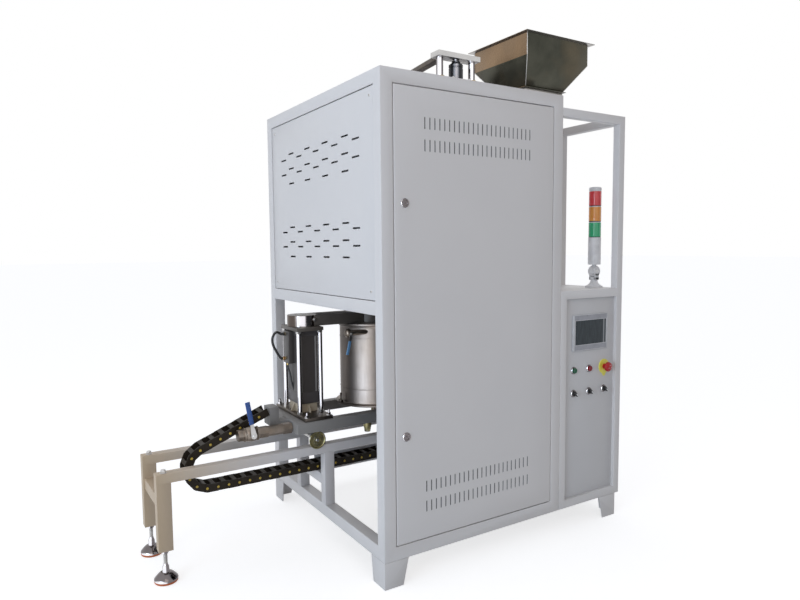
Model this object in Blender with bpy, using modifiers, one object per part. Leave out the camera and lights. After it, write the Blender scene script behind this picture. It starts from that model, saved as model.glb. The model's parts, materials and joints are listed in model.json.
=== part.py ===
"""Frit melting furnace: cabinet, control tower, roof hopper, and a quench cart on rails.

Units are metres, +Z is up, +X runs along the front from left to right, and +Y runs into the depth.
Every place below is measured from the cabinet's front left corner on the floor.
"""
import math

import bmesh
import bpy
from mathutils import Matrix, Vector

# Values shared by every piece
GAP = 0.0003
RUN_FIT = 0.0005
OVERRUN = 0.010
ROUND_SIDES = 28
SMALL_SIDES = 12
SHEET = 0.002

# Cabinet
CABINET_WIDTH = 0.802
CABINET_DEPTH = 0.981
CABINET_TOP = 1.700
FRAME_BOTTOM = 0.091
TUBE = 0.046
PANEL_SETBACK = 0.004
ARM_HEADROOM = 0.040

# Left panel slots, in columns that take two and three slots by turns
PANEL_SLOT_LENGTH = 0.054
PANEL_SLOT_HEIGHT = 0.0065
PANEL_COLUMNS = 9
PANEL_COLUMN_PITCH_SHARE = 0.08094
PANEL_ROW_PITCH_SHARE = 0.0811
PANEL_STAGGER_SHARE = 1 / 3
PANEL_GROUP_TOP_SHARES = (0.7581, 0.3541)

# Front door, its vents, hinge pins and cam locks
DOOR_GAP = 0.003
DOOR_DEPTH = 0.025
VENT_SPAN_SHARE = 0.5835
VENT_COUNT = 24
VENT_WIDTH = 0.005
VENT_HEIGHT = 0.0395
VENT_ROW_SHARES = (0.0609, 0.1072, 0.8650, 0.9126)
HINGE_INSET = 0.006
HINGE_PIN_RADIUS = 0.0025
HINGE_PIN_DEPTH = 0.012
LOCK_FROM_EDGE = 0.040
LOCK_HEIGHT_SHARES = {"lock_upper": 0.75314, "lock_lower": 0.24289}
LOCK_FACE_RADIUS = 0.015
LOCK_FACE_PROUD = 0.003
LOCK_BODY_RADIUS = 0.011
LOCK_TONGUE_LENGTH = 0.060
LOCK_TONGUE_WIDTH = 0.018
LOCK_TONGUE_THICKNESS = 0.003
LOCK_TONGUE_CLEARANCE = 0.0015

# Bent-sheet feet
FOOT_SHEET = 0.004
FOOT_TOP_WIDTH = 0.094
FOOT_FLOOR_WIDTH = 0.073
FOOT_TOP_DEPTH = 0.091
FOOT_FLOOR_DEPTH = 0.078
TOWER_FOOT_INSET = 0.023

# Control tower
TOWER_WIDTH = 0.353
TOWER_DROP = 0.044
TOWER_DEPTH = 0.345
TOWER_TUBE = 0.032
TOWER_WINDOW = 0.696
CONSOLE_SIDE_SETBACK = 0.010
PANEL_RECESS = 0.014

# Touch panel, on the tower's middle line
HMI_BELOW_TOP = 0.170
HMI_WIDTH_SHARE = 0.578
HMI_HEIGHT_SHARE = 0.7206
HMI_PROUD = 0.008
HMI_BODY_MARGIN = 0.007
HMI_BODY_DEPTH = 0.040
SCREEN_WIDTH_SHARE = 0.8725
SCREEN_HEIGHT_SHARE = 0.6667
SCREEN_RECESS = 0.0025
SCREEN_THICKNESS = 0.0015

# Buttons and selector switches, in three columns
CONTROL_SPACING_SHARE = 0.2493
BUTTONS_BELOW_TOP = 0.320
SELECTORS_BELOW_TOP = 0.413
BUTTON_RADIUS = 0.0108
BEZEL_MARGIN = 0.0037
BEZEL_PROUD = 0.004
BUTTON_PROUD = 0.010
BUTTON_BEHIND = 0.030
SELECTOR_PROUD = 0.008
SELECTOR_HANDLE_LENGTH = 0.024
SELECTOR_HANDLE_WIDTH = 0.008
SELECTOR_HANDLE_HEIGHT = 0.012
ESTOP_COLLAR_RADIUS = 0.030
ESTOP_COLLAR_PROUD = 0.003
ESTOP_HEAD_RADIUS = 0.020
ESTOP_NECK_PROUD = 0.017
ESTOP_RIM_HEIGHT = 0.010
ESTOP_CROWN_HEIGHT = 0.008
ESTOP_CROWN_SHARE = 0.6

# Signal light
LIGHT_FROM_RIGHT = 0.047
LIGHT_FROM_FRONT = 0.108
LIGHT_FOOT_RADIUS = 0.036
LIGHT_FOOT_THICKNESS = 0.006
LIGHT_NECK_RADIUS = 0.013
LIGHT_NECK_HEIGHT = 0.028
LIGHT_KNUCKLE_RADIUS = 0.024
LIGHT_KNUCKLE_FROM_NECK = 0.040
LIGHT_KNUCKLE_THICKNESS = 0.018
LIGHT_EAR_RADIUS = 0.020
LIGHT_EAR_THICKNESS = 0.008
LIGHT_PIN_RADIUS = 0.004
LIGHT_RADIUS = 0.026
LIGHT_BODY_FROM_KNUCKLE = 0.004
LIGHT_BODY_HEIGHT = 0.114
LENS_RADIUS = 0.0255
LENS_HEIGHT = 0.065
LIGHT_CAP_HEIGHT = 0.015
LIGHT_CAP_RADIUS = 0.024

# Hopper on the roof, which stands out over the tower
HOPPER_OVERHANG = 0.181
HOPPER_FRONT = 0.050
HOPPER_WIDTH = 0.320
HOPPER_DEPTH = 0.308
HOPPER_TAPER_HEIGHT = 0.102
HOPPER_COLLAR_HEIGHT = 0.081
HOPPER_WALL = 0.002
HOPPER_LIP = 0.020
OUTLET_FROM_LEFT = 0.045
OUTLET_FROM_FRONT = 0.056
OUTLET_WIDTH = 0.197
OUTLET_DEPTH = 0.159
HOPPER_FLANGE = 0.010

# Screw feeder between the hopper and the furnace
FEED_WALL = 0.003
FEED_TUBE_RADIUS = 0.019
FEED_HEADROOM = 0.001
FEED_END_SHARES = (0.44, -0.544)
CHUTE_RADIUS = 0.025
CHUTE_WALL = 0.004
SCREW_SHAFT_RADIUS = 0.005
SCREW_CLEARANCE = 0.0015
SCREW_PITCH = 0.036
SCREW_FLIGHT = 0.003
SCREW_TURN_STEPS = 8
SCREW_BACK = 0.085
MOTOR_RADIUS = 0.028
MOTOR_LENGTH = 0.140
MOTOR_CLEARANCE = 0.008
GEARCASE_THICKNESS = 0.016
GEARCASE_MARGIN = 0.020
GEARCASE_RIM = 0.002

# Stopper lift on the roof, in front of the furnace and a little to its left
STOPPER_LIFT_LEFTWARD = 0.018
STOPPER_LIFT_Y = 0.075
STOPPER_BASE_WIDTH = 0.194
STOPPER_BASE_DEPTH = 0.086
STOPPER_BASE_THICKNESS = 0.008
COLUMN_SPACING = 0.138
COLUMN_RADIUS = 0.012
COLUMN_BELOW = 0.090
BUSH_WALL = 0.006
BUSH_HEIGHT = 0.012
STOPPER_CYLINDER_RADIUS = 0.025
STOPPER_CYLINDER_HEIGHT = 0.065
STOPPER_NECK_RADIUS = 0.013
STOPPER_NECK_LENGTH = 0.013
STOPPER_PISTON_RADIUS = 0.008
CROSSHEAD_CLEARANCE = 0.004
CROSSHEAD_THICKNESS = 0.018
CROSSHEAD_WIDTH = 0.180
CROSSHEAD_DEPTH = 0.050
STOPPER_ARM_TAIL = 0.052
STOPPER_ARM_WIDTH = 0.030
STOPPER_ARM_BOSS_RADIUS = 0.024
STOPPER_ROD_RADIUS = 0.012

# Furnace inside the cabinet
FURNACE_LEFTWARD = 0.031
FURNACE_Y_SHARE = 0.59939
FURNACE_HALF_SHARE = 0.37406
FURNACE_WALL = 0.004
FURNACE_SHELL_DROP = 0.140
FURNACE_COVER_DROP = 0.078
CAVITY_HALF_SHARE = 0.5333
HEARTH_THICKNESS = 0.160
OUTLET_HOLE_CLEARANCE = 0.004
SHELL_HOLE_RADIUS = 0.060
CRUCIBLE_RADIUS_SHARE = 0.78125
CRUCIBLE_WALL = 0.012
CRUCIBLE_HEIGHT_SHARE = 0.61364
SPOUT_RADIUS = 0.030
SPOUT_BORE_RADIUS = 0.009
SPOUT_DROP = 0.030
HEATER_PLACE_SHARE = 0.8875
HEATER_SPACING = 0.060
HEATER_RADIUS = 0.006
HEATER_FROM_HEARTH = 0.030
HEATER_BELOW_ROOF = 0.020
HEATER_COLLAR_RADIUS = 0.015
HEATER_COLLAR_HEIGHT = 0.012
THERMOCOUPLE_RADIUS = 0.005
THERMOCOUPLE_BOTTOM_SHARE = 0.40909
THERMOCOUPLE_HEAD_RADIUS = 0.020
THERMOCOUPLE_HEAD_HEIGHT = 0.036
BEARER_PLACE_SHARE = 0.7667

# Track
RAIL_INSIDE_BUCKET = 0.012
RAIL_WIDTH = 0.040
RAIL_HEIGHT = 0.032
RAIL_TOP = 0.379
RAIL_BEYOND_CART = 0.505
RAIL_FROM_RIGHT = 0.112
OUTER_LEG_WIDTH = 0.048
LEG_SIZE = 0.040
LEG_DEPTH = 0.038
OUTER_LEG_BOTTOM = 0.110
OUTER_CROSS_DROP = 0.082
INNER_CROSS_DROP = 0.127
REST_LEG_FROM_END = 0.045
TRAY_SHEET = 0.0032
TRAY_MARGIN = 0.005
TRAY_DEPTH = 0.073
STOP_BOLT_RADIUS = 0.008
STOP_BOLT_HEIGHT = 0.012
STOP_BOLT_FROM_END = 0.027
STEM_RADIUS = 0.007
STEM_DEPTH_IN_LEG = 0.060
DISC_RADIUS = 0.040
PAD_THICKNESS = 0.008
DISC_EDGE = 0.006
DISC_DOME_TOP = 0.034
DISC_NECK_RADIUS = 0.012
DISC_NECK_HEIGHT = 0.018

# Cart
CART_STANDOFF = 0.080
CART_BEYOND_LIFT = 0.092
CART_BEYOND_BUCKET = 0.028
CART_OUTSIDE_RAIL = 0.018
CART_MEMBER = 0.040
WHEEL_FROM_LEFT = 0.085
WHEEL_FROM_RIGHT = 0.050
FLANGE_RADIUS = 0.034
FLANGE_CLEARANCE = 0.0027
FLANGE_THICKNESS = 0.0045
TREAD_RADIUS = 0.024
TREAD_WIDTH = 0.0205
AXLE_RADIUS = 0.008
LUG_THICKNESS = 0.008
LUG_FROM_TREAD = 0.003
LUG_HALF_WIDTH = 0.018
LUG_ABOVE_RAIL = 0.007
BRACKET_LENGTH = 0.073
BRACKET_BELOW = 0.016
BRACKET_ABOVE = 0.053
KNOB_FROM_BUCKET = 0.100
KNOB_TOP_RADIUS = 0.016
KNOB_BOTTOM_RADIUS = 0.012
KNOB_DROP = 0.038

# Lift column on the cart
LIFT_FROM_BUCKET = 0.182
LIFT_BASE_HALF_WIDTH = 0.058
LIFT_BASE_THICKNESS = 0.013
LIFT_HEIGHT = 0.350
LIFT_TOP_HALF_WIDTH = 0.056
LIFT_TOP_HALF_DEPTH = 0.081
LIFT_TOP_THICKNESS = 0.014
TIE_ROD_SIDEWAYS = 0.045
TIE_ROD_FORWARD = 0.069
TIE_ROD_RADIUS = 0.009
PEDESTAL_RISE = 0.048
PEDESTAL_HALF_WIDTH = 0.038
PEDESTAL_HALF_DEPTH = 0.050
GUSSET_REACH = 0.017
GUSSET_THICKNESS = 0.006
BARREL_HALF_WIDTH = 0.043
BARREL_HALF_DEPTH = 0.058
AIR_BLOCK_REACH = 0.022
AIR_BLOCK_WIDTH = 0.054
AIR_BLOCK_HEIGHT = 0.127
AIR_BLOCK_BACKWARD = 0.011
PISTON_RADIUS = 0.015
PISTON_RISE = 0.160
PISTON_END_ROOM = 0.020
ARM_THICKNESS = 0.0437
ARM_HALF_WIDTH = 0.050
ARM_BOSS_RADIUS = 0.058
ARM_RING_WALL = 0.030
ARM_RING_BORE = 0.048
COVER_MARGIN = 0.008
COVER_THICKNESS = 0.0095
COVER_INLET_RADIUS = 0.045

# Quench bucket
BUCKET_RADIUS = 0.132
BUCKET_WALL = 0.0025
BUCKET_RISE = 0.012
BUCKET_BELOW_LIFT = 0.010
BUCKET_FLOOR = 0.004
BUCKET_FLANGE_MARGIN = 0.020
BUCKET_FLANGE_THICKNESS = 0.008
BUCKET_BOLT_X = 0.040
BUCKET_BOLT_MARGIN = 0.005
BUCKET_BOLT_RADIUS = 0.006
LATCH_MARGIN = 0.015
LATCH_PIVOT_RADIUS = 0.005
LATCH_LENGTH = 0.034
LATCH_LEVER_RADIUS = 0.004
LATCH_HALF_WIDTH = 0.007
LATCH_EAR = 0.004

# Drain pipe, drain valve and overflow valve
PIPE_FROM_MEMBER = 0.010
PIPE_DROP = 0.025
PIPE_RADIUS = 0.017
PIPE_WALL = 0.003
PIPE_COUPLING_RADIUS = 0.022
PIPE_COUPLING_LENGTH = 0.119
PIPE_RISER_FROM_BUCKET = 0.028
VALVE_LENGTH = 0.0905
VALVE_NECK_RADIUS = 0.019
VALVE_BALL_RADIUS = 0.027
VALVE_BALL_FROM_END = 0.0505
VALVE_BALL_LENGTH = 0.056
VALVE_STEM_RADIUS = 0.009
VALVE_STEM_LENGTH = 0.008
HANDLE_LENGTH = 0.131
HANDLE_WIDTH = 0.021
HANDLE_LEAN = math.radians(10)
HANDLE_THICKNESS = 0.005
OVERFLOW_PLACE_SHARE = 0.7424
OVERFLOW_DROP = 0.022
OVERFLOW_RADIUS = 0.011
OVERFLOW_BALL_RADIUS = 0.018
OVERFLOW_BALL_LENGTH = 0.022
OVERFLOW_BALL_FROM_BUCKET = 0.028
OVERFLOW_LENGTH = 0.042
OVERFLOW_STEM_RADIUS = 0.006
OVERFLOW_HANDLE_LENGTH = 0.084
OVERFLOW_HANDLE_WIDTH = 0.014
OVERFLOW_HANDLE_LEAN = math.radians(13)

# Cable chain
CHAIN_FROM_PIPE = 0.029
CHAIN_WIDTH = 0.062
CHAIN_HEIGHT = 0.030
CHAIN_FROM_REST = 0.005
CHAIN_BEND_FROM_END = 0.198
CHAIN_BEND_RADIUS = 0.0755
CHAIN_RISE = math.radians(22.0)
CHAIN_BEND_STEPS = 14

# Air hose at the lift: places from the lift's axis and top, chosen by hand
HOSE_RADIUS = 0.005
HOSE_FITTING_RADIUS = 0.007
HOSE_FITTING_REACH = 0.010
HOSE_BACKWARD = 0.020
HOSE_TOP_DROP = 0.030
HOSE_BOTTOM_DROP = 0.127
HOSE_PLACES = (
    (-0.080, -0.030), (-0.087, -0.026), (-0.095, -0.022), (-0.103, -0.023), (-0.110, -0.030),
    (-0.1155, -0.041), (-0.117, -0.053), (-0.115, -0.067), (-0.110, -0.081), (-0.103, -0.094),
    (-0.096, -0.107), (-0.089, -0.118), (-0.084, -0.1245), (-0.080, -0.127),
)

# Heights that follow from the values above, from the rails up
CART_TOP = RAIL_TOP + GAP + TREAD_RADIUS + FLANGE_RADIUS + FLANGE_CLEARANCE + CART_MEMBER
AXLE_Z = RAIL_TOP + GAP + TREAD_RADIUS
PEDESTAL_TOP = CART_TOP + PEDESTAL_RISE
LIFT_TOP = CART_TOP + LIFT_HEIGHT
PISTON_BOTTOM = CART_TOP + PISTON_RISE
PISTON_BORE_BOTTOM = PISTON_BOTTOM - PISTON_END_ROOM
HOSE_TOP_Z = LIFT_TOP - HOSE_TOP_DROP
HOSE_BOTTOM_Z = LIFT_TOP - HOSE_BOTTOM_DROP
ARM_BOTTOM = LIFT_TOP + GAP
ARM_TOP = ARM_BOTTOM + ARM_THICKNESS
BUCKET_BOTTOM = CART_TOP + BUCKET_RISE
BUCKET_TOP = LIFT_TOP - BUCKET_BELOW_LIFT
PIPE_Z = CART_TOP - PIPE_DROP
OVERFLOW_Z = BUCKET_TOP - OVERFLOW_DROP
OUTER_CROSS_TOP = RAIL_TOP - OUTER_CROSS_DROP
INNER_CROSS_TOP = RAIL_TOP - INNER_CROSS_DROP
TRAY_WALL_TOP = OUTER_CROSS_TOP - SHEET
LUG_BOTTOM = RAIL_TOP + LUG_ABOVE_RAIL
BRACKET_BOTTOM = CART_TOP - BRACKET_BELOW
BRACKET_TOP = CART_TOP + BRACKET_ABOVE
KNOB_BOTTOM = CART_TOP - CART_MEMBER - KNOB_DROP
DISC_NECK_TOP = DISC_DOME_TOP + DISC_NECK_HEIGHT
CHAIN_LOW_Z = INNER_CROSS_TOP + TRAY_SHEET + GAP + CHAIN_HEIGHT / 2
MID_RAIL_TOP = ARM_TOP + ARM_HEADROOM + TUBE
HEARTH_TOP = MID_RAIL_TOP + HEARTH_THICKNESS
FURNACE_SHELL_TOP = CABINET_TOP - FURNACE_SHELL_DROP
FURNACE_COVER_TOP = CABINET_TOP - FURNACE_COVER_DROP
CAVITY_HEIGHT = FURNACE_SHELL_TOP - HEARTH_TOP
CRUCIBLE_HEIGHT = CAVITY_HEIGHT * CRUCIBLE_HEIGHT_SHARE
THERMOCOUPLE_BOTTOM = HEARTH_TOP + CAVITY_HEIGHT * THERMOCOUPLE_BOTTOM_SHARE
SPOUT_BOTTOM = MID_RAIL_TOP - SPOUT_DROP
HEATER_BOTTOM = HEARTH_TOP + HEATER_FROM_HEARTH
HEATER_TOP = CABINET_TOP - HEATER_BELOW_ROOF
OUTLET_HEIGHT = CABINET_TOP + 2 * FEED_TUBE_RADIUS + FEED_WALL + FEED_HEADROOM
HOPPER_SEAM = OUTLET_HEIGHT + HOPPER_TAPER_HEIGHT
HOPPER_TOP = HOPPER_SEAM + HOPPER_COLLAR_HEIGHT
STOPPER_NECK_HEIGHT = STOPPER_CYLINDER_HEIGHT + STOPPER_NECK_LENGTH
CROSSHEAD_TOP = CABINET_TOP + STOPPER_NECK_HEIGHT + CROSSHEAD_CLEARANCE + CROSSHEAD_THICKNESS
TOWER_TOP = CABINET_TOP - TOWER_DROP
CONSOLE_TOP = TOWER_TOP - TOWER_WINDOW
BUTTON_ROW = CONSOLE_TOP - BUTTONS_BELOW_TOP
SELECTOR_ROW = CONSOLE_TOP - SELECTORS_BELOW_TOP
LIGHT_KNUCKLE_Z = CONSOLE_TOP + GAP + LIGHT_NECK_HEIGHT + LIGHT_KNUCKLE_FROM_NECK
LIGHT_BODY_Z = LIGHT_KNUCKLE_Z + LIGHT_KNUCKLE_RADIUS + LIGHT_BODY_FROM_KNUCKLE

# Places on the cabinet and the tower that follow
DOOR_LEFT = TUBE + DOOR_GAP
DOOR_RIGHT = CABINET_WIDTH - TUBE - DOOR_GAP
DOOR_BOTTOM = FRAME_BOTTOM + TUBE + DOOR_GAP
DOOR_TOP = CABINET_TOP - TUBE - DOOR_GAP
HINGE_X = DOOR_RIGHT - HINGE_INSET
LOCK_X = DOOR_LEFT + LOCK_FROM_EDGE
LOCK_HEIGHTS = {name: DOOR_BOTTOM + share * (DOOR_TOP - DOOR_BOTTOM)
                for name, share in LOCK_HEIGHT_SHARES.items()}
TOWER_LEFT = CABINET_WIDTH + GAP
TOWER_RIGHT = CABINET_WIDTH + TOWER_WIDTH
TOWER_MIDDLE = (TOWER_LEFT + TOWER_RIGHT) / 2
CONTROL_SPACING = TOWER_WIDTH * CONTROL_SPACING_SHARE
CONTROL_COLUMNS = {"left": TOWER_MIDDLE - CONTROL_SPACING, "middle": TOWER_MIDDLE,
                   "right": TOWER_MIDDLE + CONTROL_SPACING}
HMI_CENTRE = (TOWER_MIDDLE, CONSOLE_TOP - HMI_BELOW_TOP)
HMI_WIDTH = TOWER_WIDTH * HMI_WIDTH_SHARE
HMI_HEIGHT = HMI_WIDTH * HMI_HEIGHT_SHARE
SCREEN_WIDTH = HMI_WIDTH * SCREEN_WIDTH_SHARE
SCREEN_HEIGHT = HMI_HEIGHT * SCREEN_HEIGHT_SHARE
BEZEL_RADIUS = BUTTON_RADIUS + BEZEL_MARGIN
SELECTOR_HANDLE_PROUD = SELECTOR_PROUD + SELECTOR_HANDLE_HEIGHT
ESTOP_RIM_PROUD = ESTOP_NECK_PROUD + ESTOP_RIM_HEIGHT
ESTOP_PROUD = ESTOP_RIM_PROUD + ESTOP_CROWN_HEIGHT
LIGHT_PLACE = (TOWER_RIGHT - LIGHT_FROM_RIGHT, LIGHT_FROM_FRONT)
HOPPER_LEFT = CABINET_WIDTH + HOPPER_OVERHANG - HOPPER_WIDTH
OUTLET_LEFT = HOPPER_LEFT + OUTLET_FROM_LEFT
OUTLET_FRONT = HOPPER_FRONT + OUTLET_FROM_FRONT

# Furnace, feeder and stopper places that follow
FURNACE_X = CABINET_WIDTH / 2 - FURNACE_LEFTWARD
FURNACE_Y = CABINET_DEPTH * FURNACE_Y_SHARE
FURNACE_HALF = CABINET_WIDTH * FURNACE_HALF_SHARE
CAVITY_HALF = FURNACE_HALF * CAVITY_HALF_SHARE
CRUCIBLE_RADIUS = CAVITY_HALF * CRUCIBLE_RADIUS_SHARE
HEATER_FROM_CENTRE = CAVITY_HALF * HEATER_PLACE_SHARE
BEARER_FROM_CENTRE = FURNACE_HALF * BEARER_PLACE_SHARE
OUTLET_HOLE_RADIUS = SPOUT_RADIUS + OUTLET_HOLE_CLEARANCE
FEED_START = (OUTLET_LEFT + OUTLET_WIDTH / 2, OUTLET_FRONT + OUTLET_DEPTH / 2)
FEED_END = (FURNACE_X + CRUCIBLE_RADIUS * FEED_END_SHARES[0],
            FURNACE_Y + CRUCIBLE_RADIUS * FEED_END_SHARES[1])
FEED_BORE_RADIUS = FEED_TUBE_RADIUS - FEED_WALL
CHUTE_BORE_RADIUS = CHUTE_RADIUS - CHUTE_WALL
SCREW_RADIUS = FEED_BORE_RADIUS - SCREW_CLEARANCE
MOTOR_FROM_SCREW = MOTOR_RADIUS + FEED_TUBE_RADIUS + MOTOR_CLEARANCE
STOPPER_LIFT_X = FURNACE_X - STOPPER_LIFT_LEFTWARD
STOPPER_ARM_START_X = STOPPER_LIFT_X - STOPPER_ARM_TAIL
BUSH_RADIUS = COLUMN_RADIUS + BUSH_WALL

# Cart and track places that follow, from the bucket's axis outwards
TRACK_MID = FURNACE_Y
BUCKET_X = FURNACE_X - CART_STANDOFF
LIFT_X = BUCKET_X - BUCKET_RADIUS - LIFT_FROM_BUCKET
HOSE_FITTING_LEFT = LIFT_X - BARREL_HALF_WIDTH - AIR_BLOCK_REACH - HOSE_FITTING_REACH
ARM_RING_RADIUS = ARM_RING_BORE + ARM_RING_WALL
COVER_RADIUS = BUCKET_RADIUS + COVER_MARGIN
BUCKET_FLANGE_RADIUS = BUCKET_RADIUS + BUCKET_FLANGE_MARGIN
BUCKET_BOLT_Y = BUCKET_RADIUS + BUCKET_BOLT_MARGIN
LATCH_FROM_CENTRE = BUCKET_RADIUS + LATCH_MARGIN
CART_LEFT = LIFT_X - CART_BEYOND_LIFT
CART_RIGHT = BUCKET_X + BUCKET_RADIUS + CART_BEYOND_BUCKET
WHEEL_PLACES = {"wheelset_left": CART_LEFT + WHEEL_FROM_LEFT,
                "wheelset_right": CART_RIGHT - WHEEL_FROM_RIGHT}
KNOB_X = BUCKET_X - KNOB_FROM_BUCKET
RAIL_NEAR_Y = TRACK_MID - BUCKET_RADIUS + RAIL_INSIDE_BUCKET
RAIL_FAR_Y = TRACK_MID + BUCKET_RADIUS - RAIL_INSIDE_BUCKET
RAIL_LEFT = CART_LEFT - RAIL_BEYOND_CART
RAIL_RIGHT = CABINET_WIDTH - RAIL_FROM_RIGHT
REST_LEG_LEFT = RAIL_RIGHT - REST_LEG_FROM_END
WHEEL_FACE_Y = RAIL_NEAR_Y - RAIL_WIDTH / 2 - FLANGE_THICKNESS - RUN_FIT
CART_FRONT = RAIL_NEAR_Y - RAIL_WIDTH / 2 - CART_OUTSIDE_RAIL
PIPE_Y = CART_FRONT + CART_MEMBER + PIPE_FROM_MEMBER + PIPE_RADIUS
PIPE_BORE_RADIUS = PIPE_RADIUS - PIPE_WALL
PIPE_RISER_X = BUCKET_X - PIPE_RISER_FROM_BUCKET
PIPE_COUPLING_LEFT = CART_LEFT - PIPE_COUPLING_LENGTH
VALVE_LEFT = PIPE_COUPLING_LEFT - VALVE_LENGTH
VALVE_BALL_X = VALVE_LEFT + VALVE_BALL_FROM_END
OVERFLOW_Y = TRACK_MID - BUCKET_RADIUS * OVERFLOW_PLACE_SHARE
OVERFLOW_BALL_X = BUCKET_X - BUCKET_RADIUS - OVERFLOW_BALL_FROM_BUCKET
OVERFLOW_LEFT = BUCKET_X - BUCKET_RADIUS - OVERFLOW_LENGTH
CHAIN_FRONT = PIPE_Y + CHAIN_FROM_PIPE
CHAIN_RIGHT = REST_LEG_LEFT - CHAIN_FROM_REST
CHAIN_BEND_X = RAIL_LEFT + CHAIN_BEND_FROM_END
TRAY_FRONT = CHAIN_FRONT - TRAY_MARGIN
TRAY_BACK = TRAY_FRONT + TRAY_DEPTH
LEG_OUTER_X = RAIL_LEFT + OUTER_LEG_WIDTH / 2

# The model's middle
LEFT_X = LEG_OUTER_X - DISC_RADIUS
FRONT_Y = PANEL_RECESS - ESTOP_PROUD
MODEL_CENTRE = Vector(((LEFT_X + TOWER_RIGHT) / 2, (FRONT_Y + CABINET_DEPTH) / 2, 0))


def clear_scene():
    """Remove every object, so that the script can be run again."""
    for item in list(bpy.data.objects):
        bpy.data.objects.remove(item, do_unlink=True)


def collection(name):
    """Return a new collection that is linked to the scene."""
    made = bpy.data.collections.new(name)
    bpy.context.scene.collection.children.link(made)
    return made


def look(name, colour, roughness, metallic):
    """Return a Principled material."""
    made = bpy.data.materials.new(name)
    made.use_nodes = True
    shader = made.node_tree.nodes["Principled BSDF"]
    shader.inputs["Base Color"].default_value = (*colour, 1)
    shader.inputs["Roughness"].default_value = roughness
    shader.inputs["Metallic"].default_value = metallic
    return made


# Shapes: each function returns another one, which adds the shape to a bmesh

def box(low, high):
    """A box between two corners."""
    def add(bm):
        low_corner, high_corner = Vector(low), Vector(high)
        size = high_corner - low_corner
        place = Matrix.Translation((low_corner + high_corner) / 2)
        bmesh.ops.create_cube(bm, size=1, matrix=place @ Matrix.Diagonal((*size, 1)))
    return add


def bar(start, end, radius, end_radius=None, sides=SMALL_SIDES):
    """A cylinder or a cone between two points."""
    def add(bm):
        first, last = Vector(start), Vector(end)
        turn = (last - first).to_track_quat("Z", "Y").to_matrix().to_4x4()
        bmesh.ops.create_cone(
            bm, cap_ends=True, segments=sides, radius1=radius,
            radius2=radius if end_radius is None else end_radius,
            depth=(last - first).length, matrix=Matrix.Translation((first + last) / 2) @ turn)
    return add


def beam(start, end, width, height, up=(0, 0, 1)):
    """A box that runs from one point to another, with its height measured along the given direction."""
    def add(bm):
        first, last = Vector(start), Vector(end)
        along = (last - first).normalized()
        side = Vector(up).cross(along)
        turn = Matrix((along, side, Vector(up))).transposed().to_4x4()
        size = Matrix.Diagonal(((last - first).length, width, height, 1))
        bmesh.ops.create_cube(bm, size=1, matrix=Matrix.Translation((first + last) / 2) @ turn @ size)
    return add


def loft(sections):
    """A closed skin through sections with the same number of points, each listed the same way round."""
    def add(bm):
        rings = [[bm.verts.new(point) for point in section] for section in sections]
        count = len(rings[0])
        for ring, following in zip(rings, rings[1:]):
            for i in range(count):
                j = (i + 1) % count
                bm.faces.new((ring[i], ring[j], following[j], following[i]))
        faces = [bm.faces.new(list(reversed(rings[0]))), bm.faces.new(rings[-1])]
        bmesh.ops.recalc_face_normals(bm, faces=list({f for face in faces for v in face.verts
                                                      for f in v.link_faces} | set(faces)))
    return add


def level_rectangle(left, front, width, depth, height):
    """The corners of a level rectangle."""
    return [(left, front, height), (left + width, front, height),
            (left + width, front + depth, height), (left, front + depth, height)]


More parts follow.
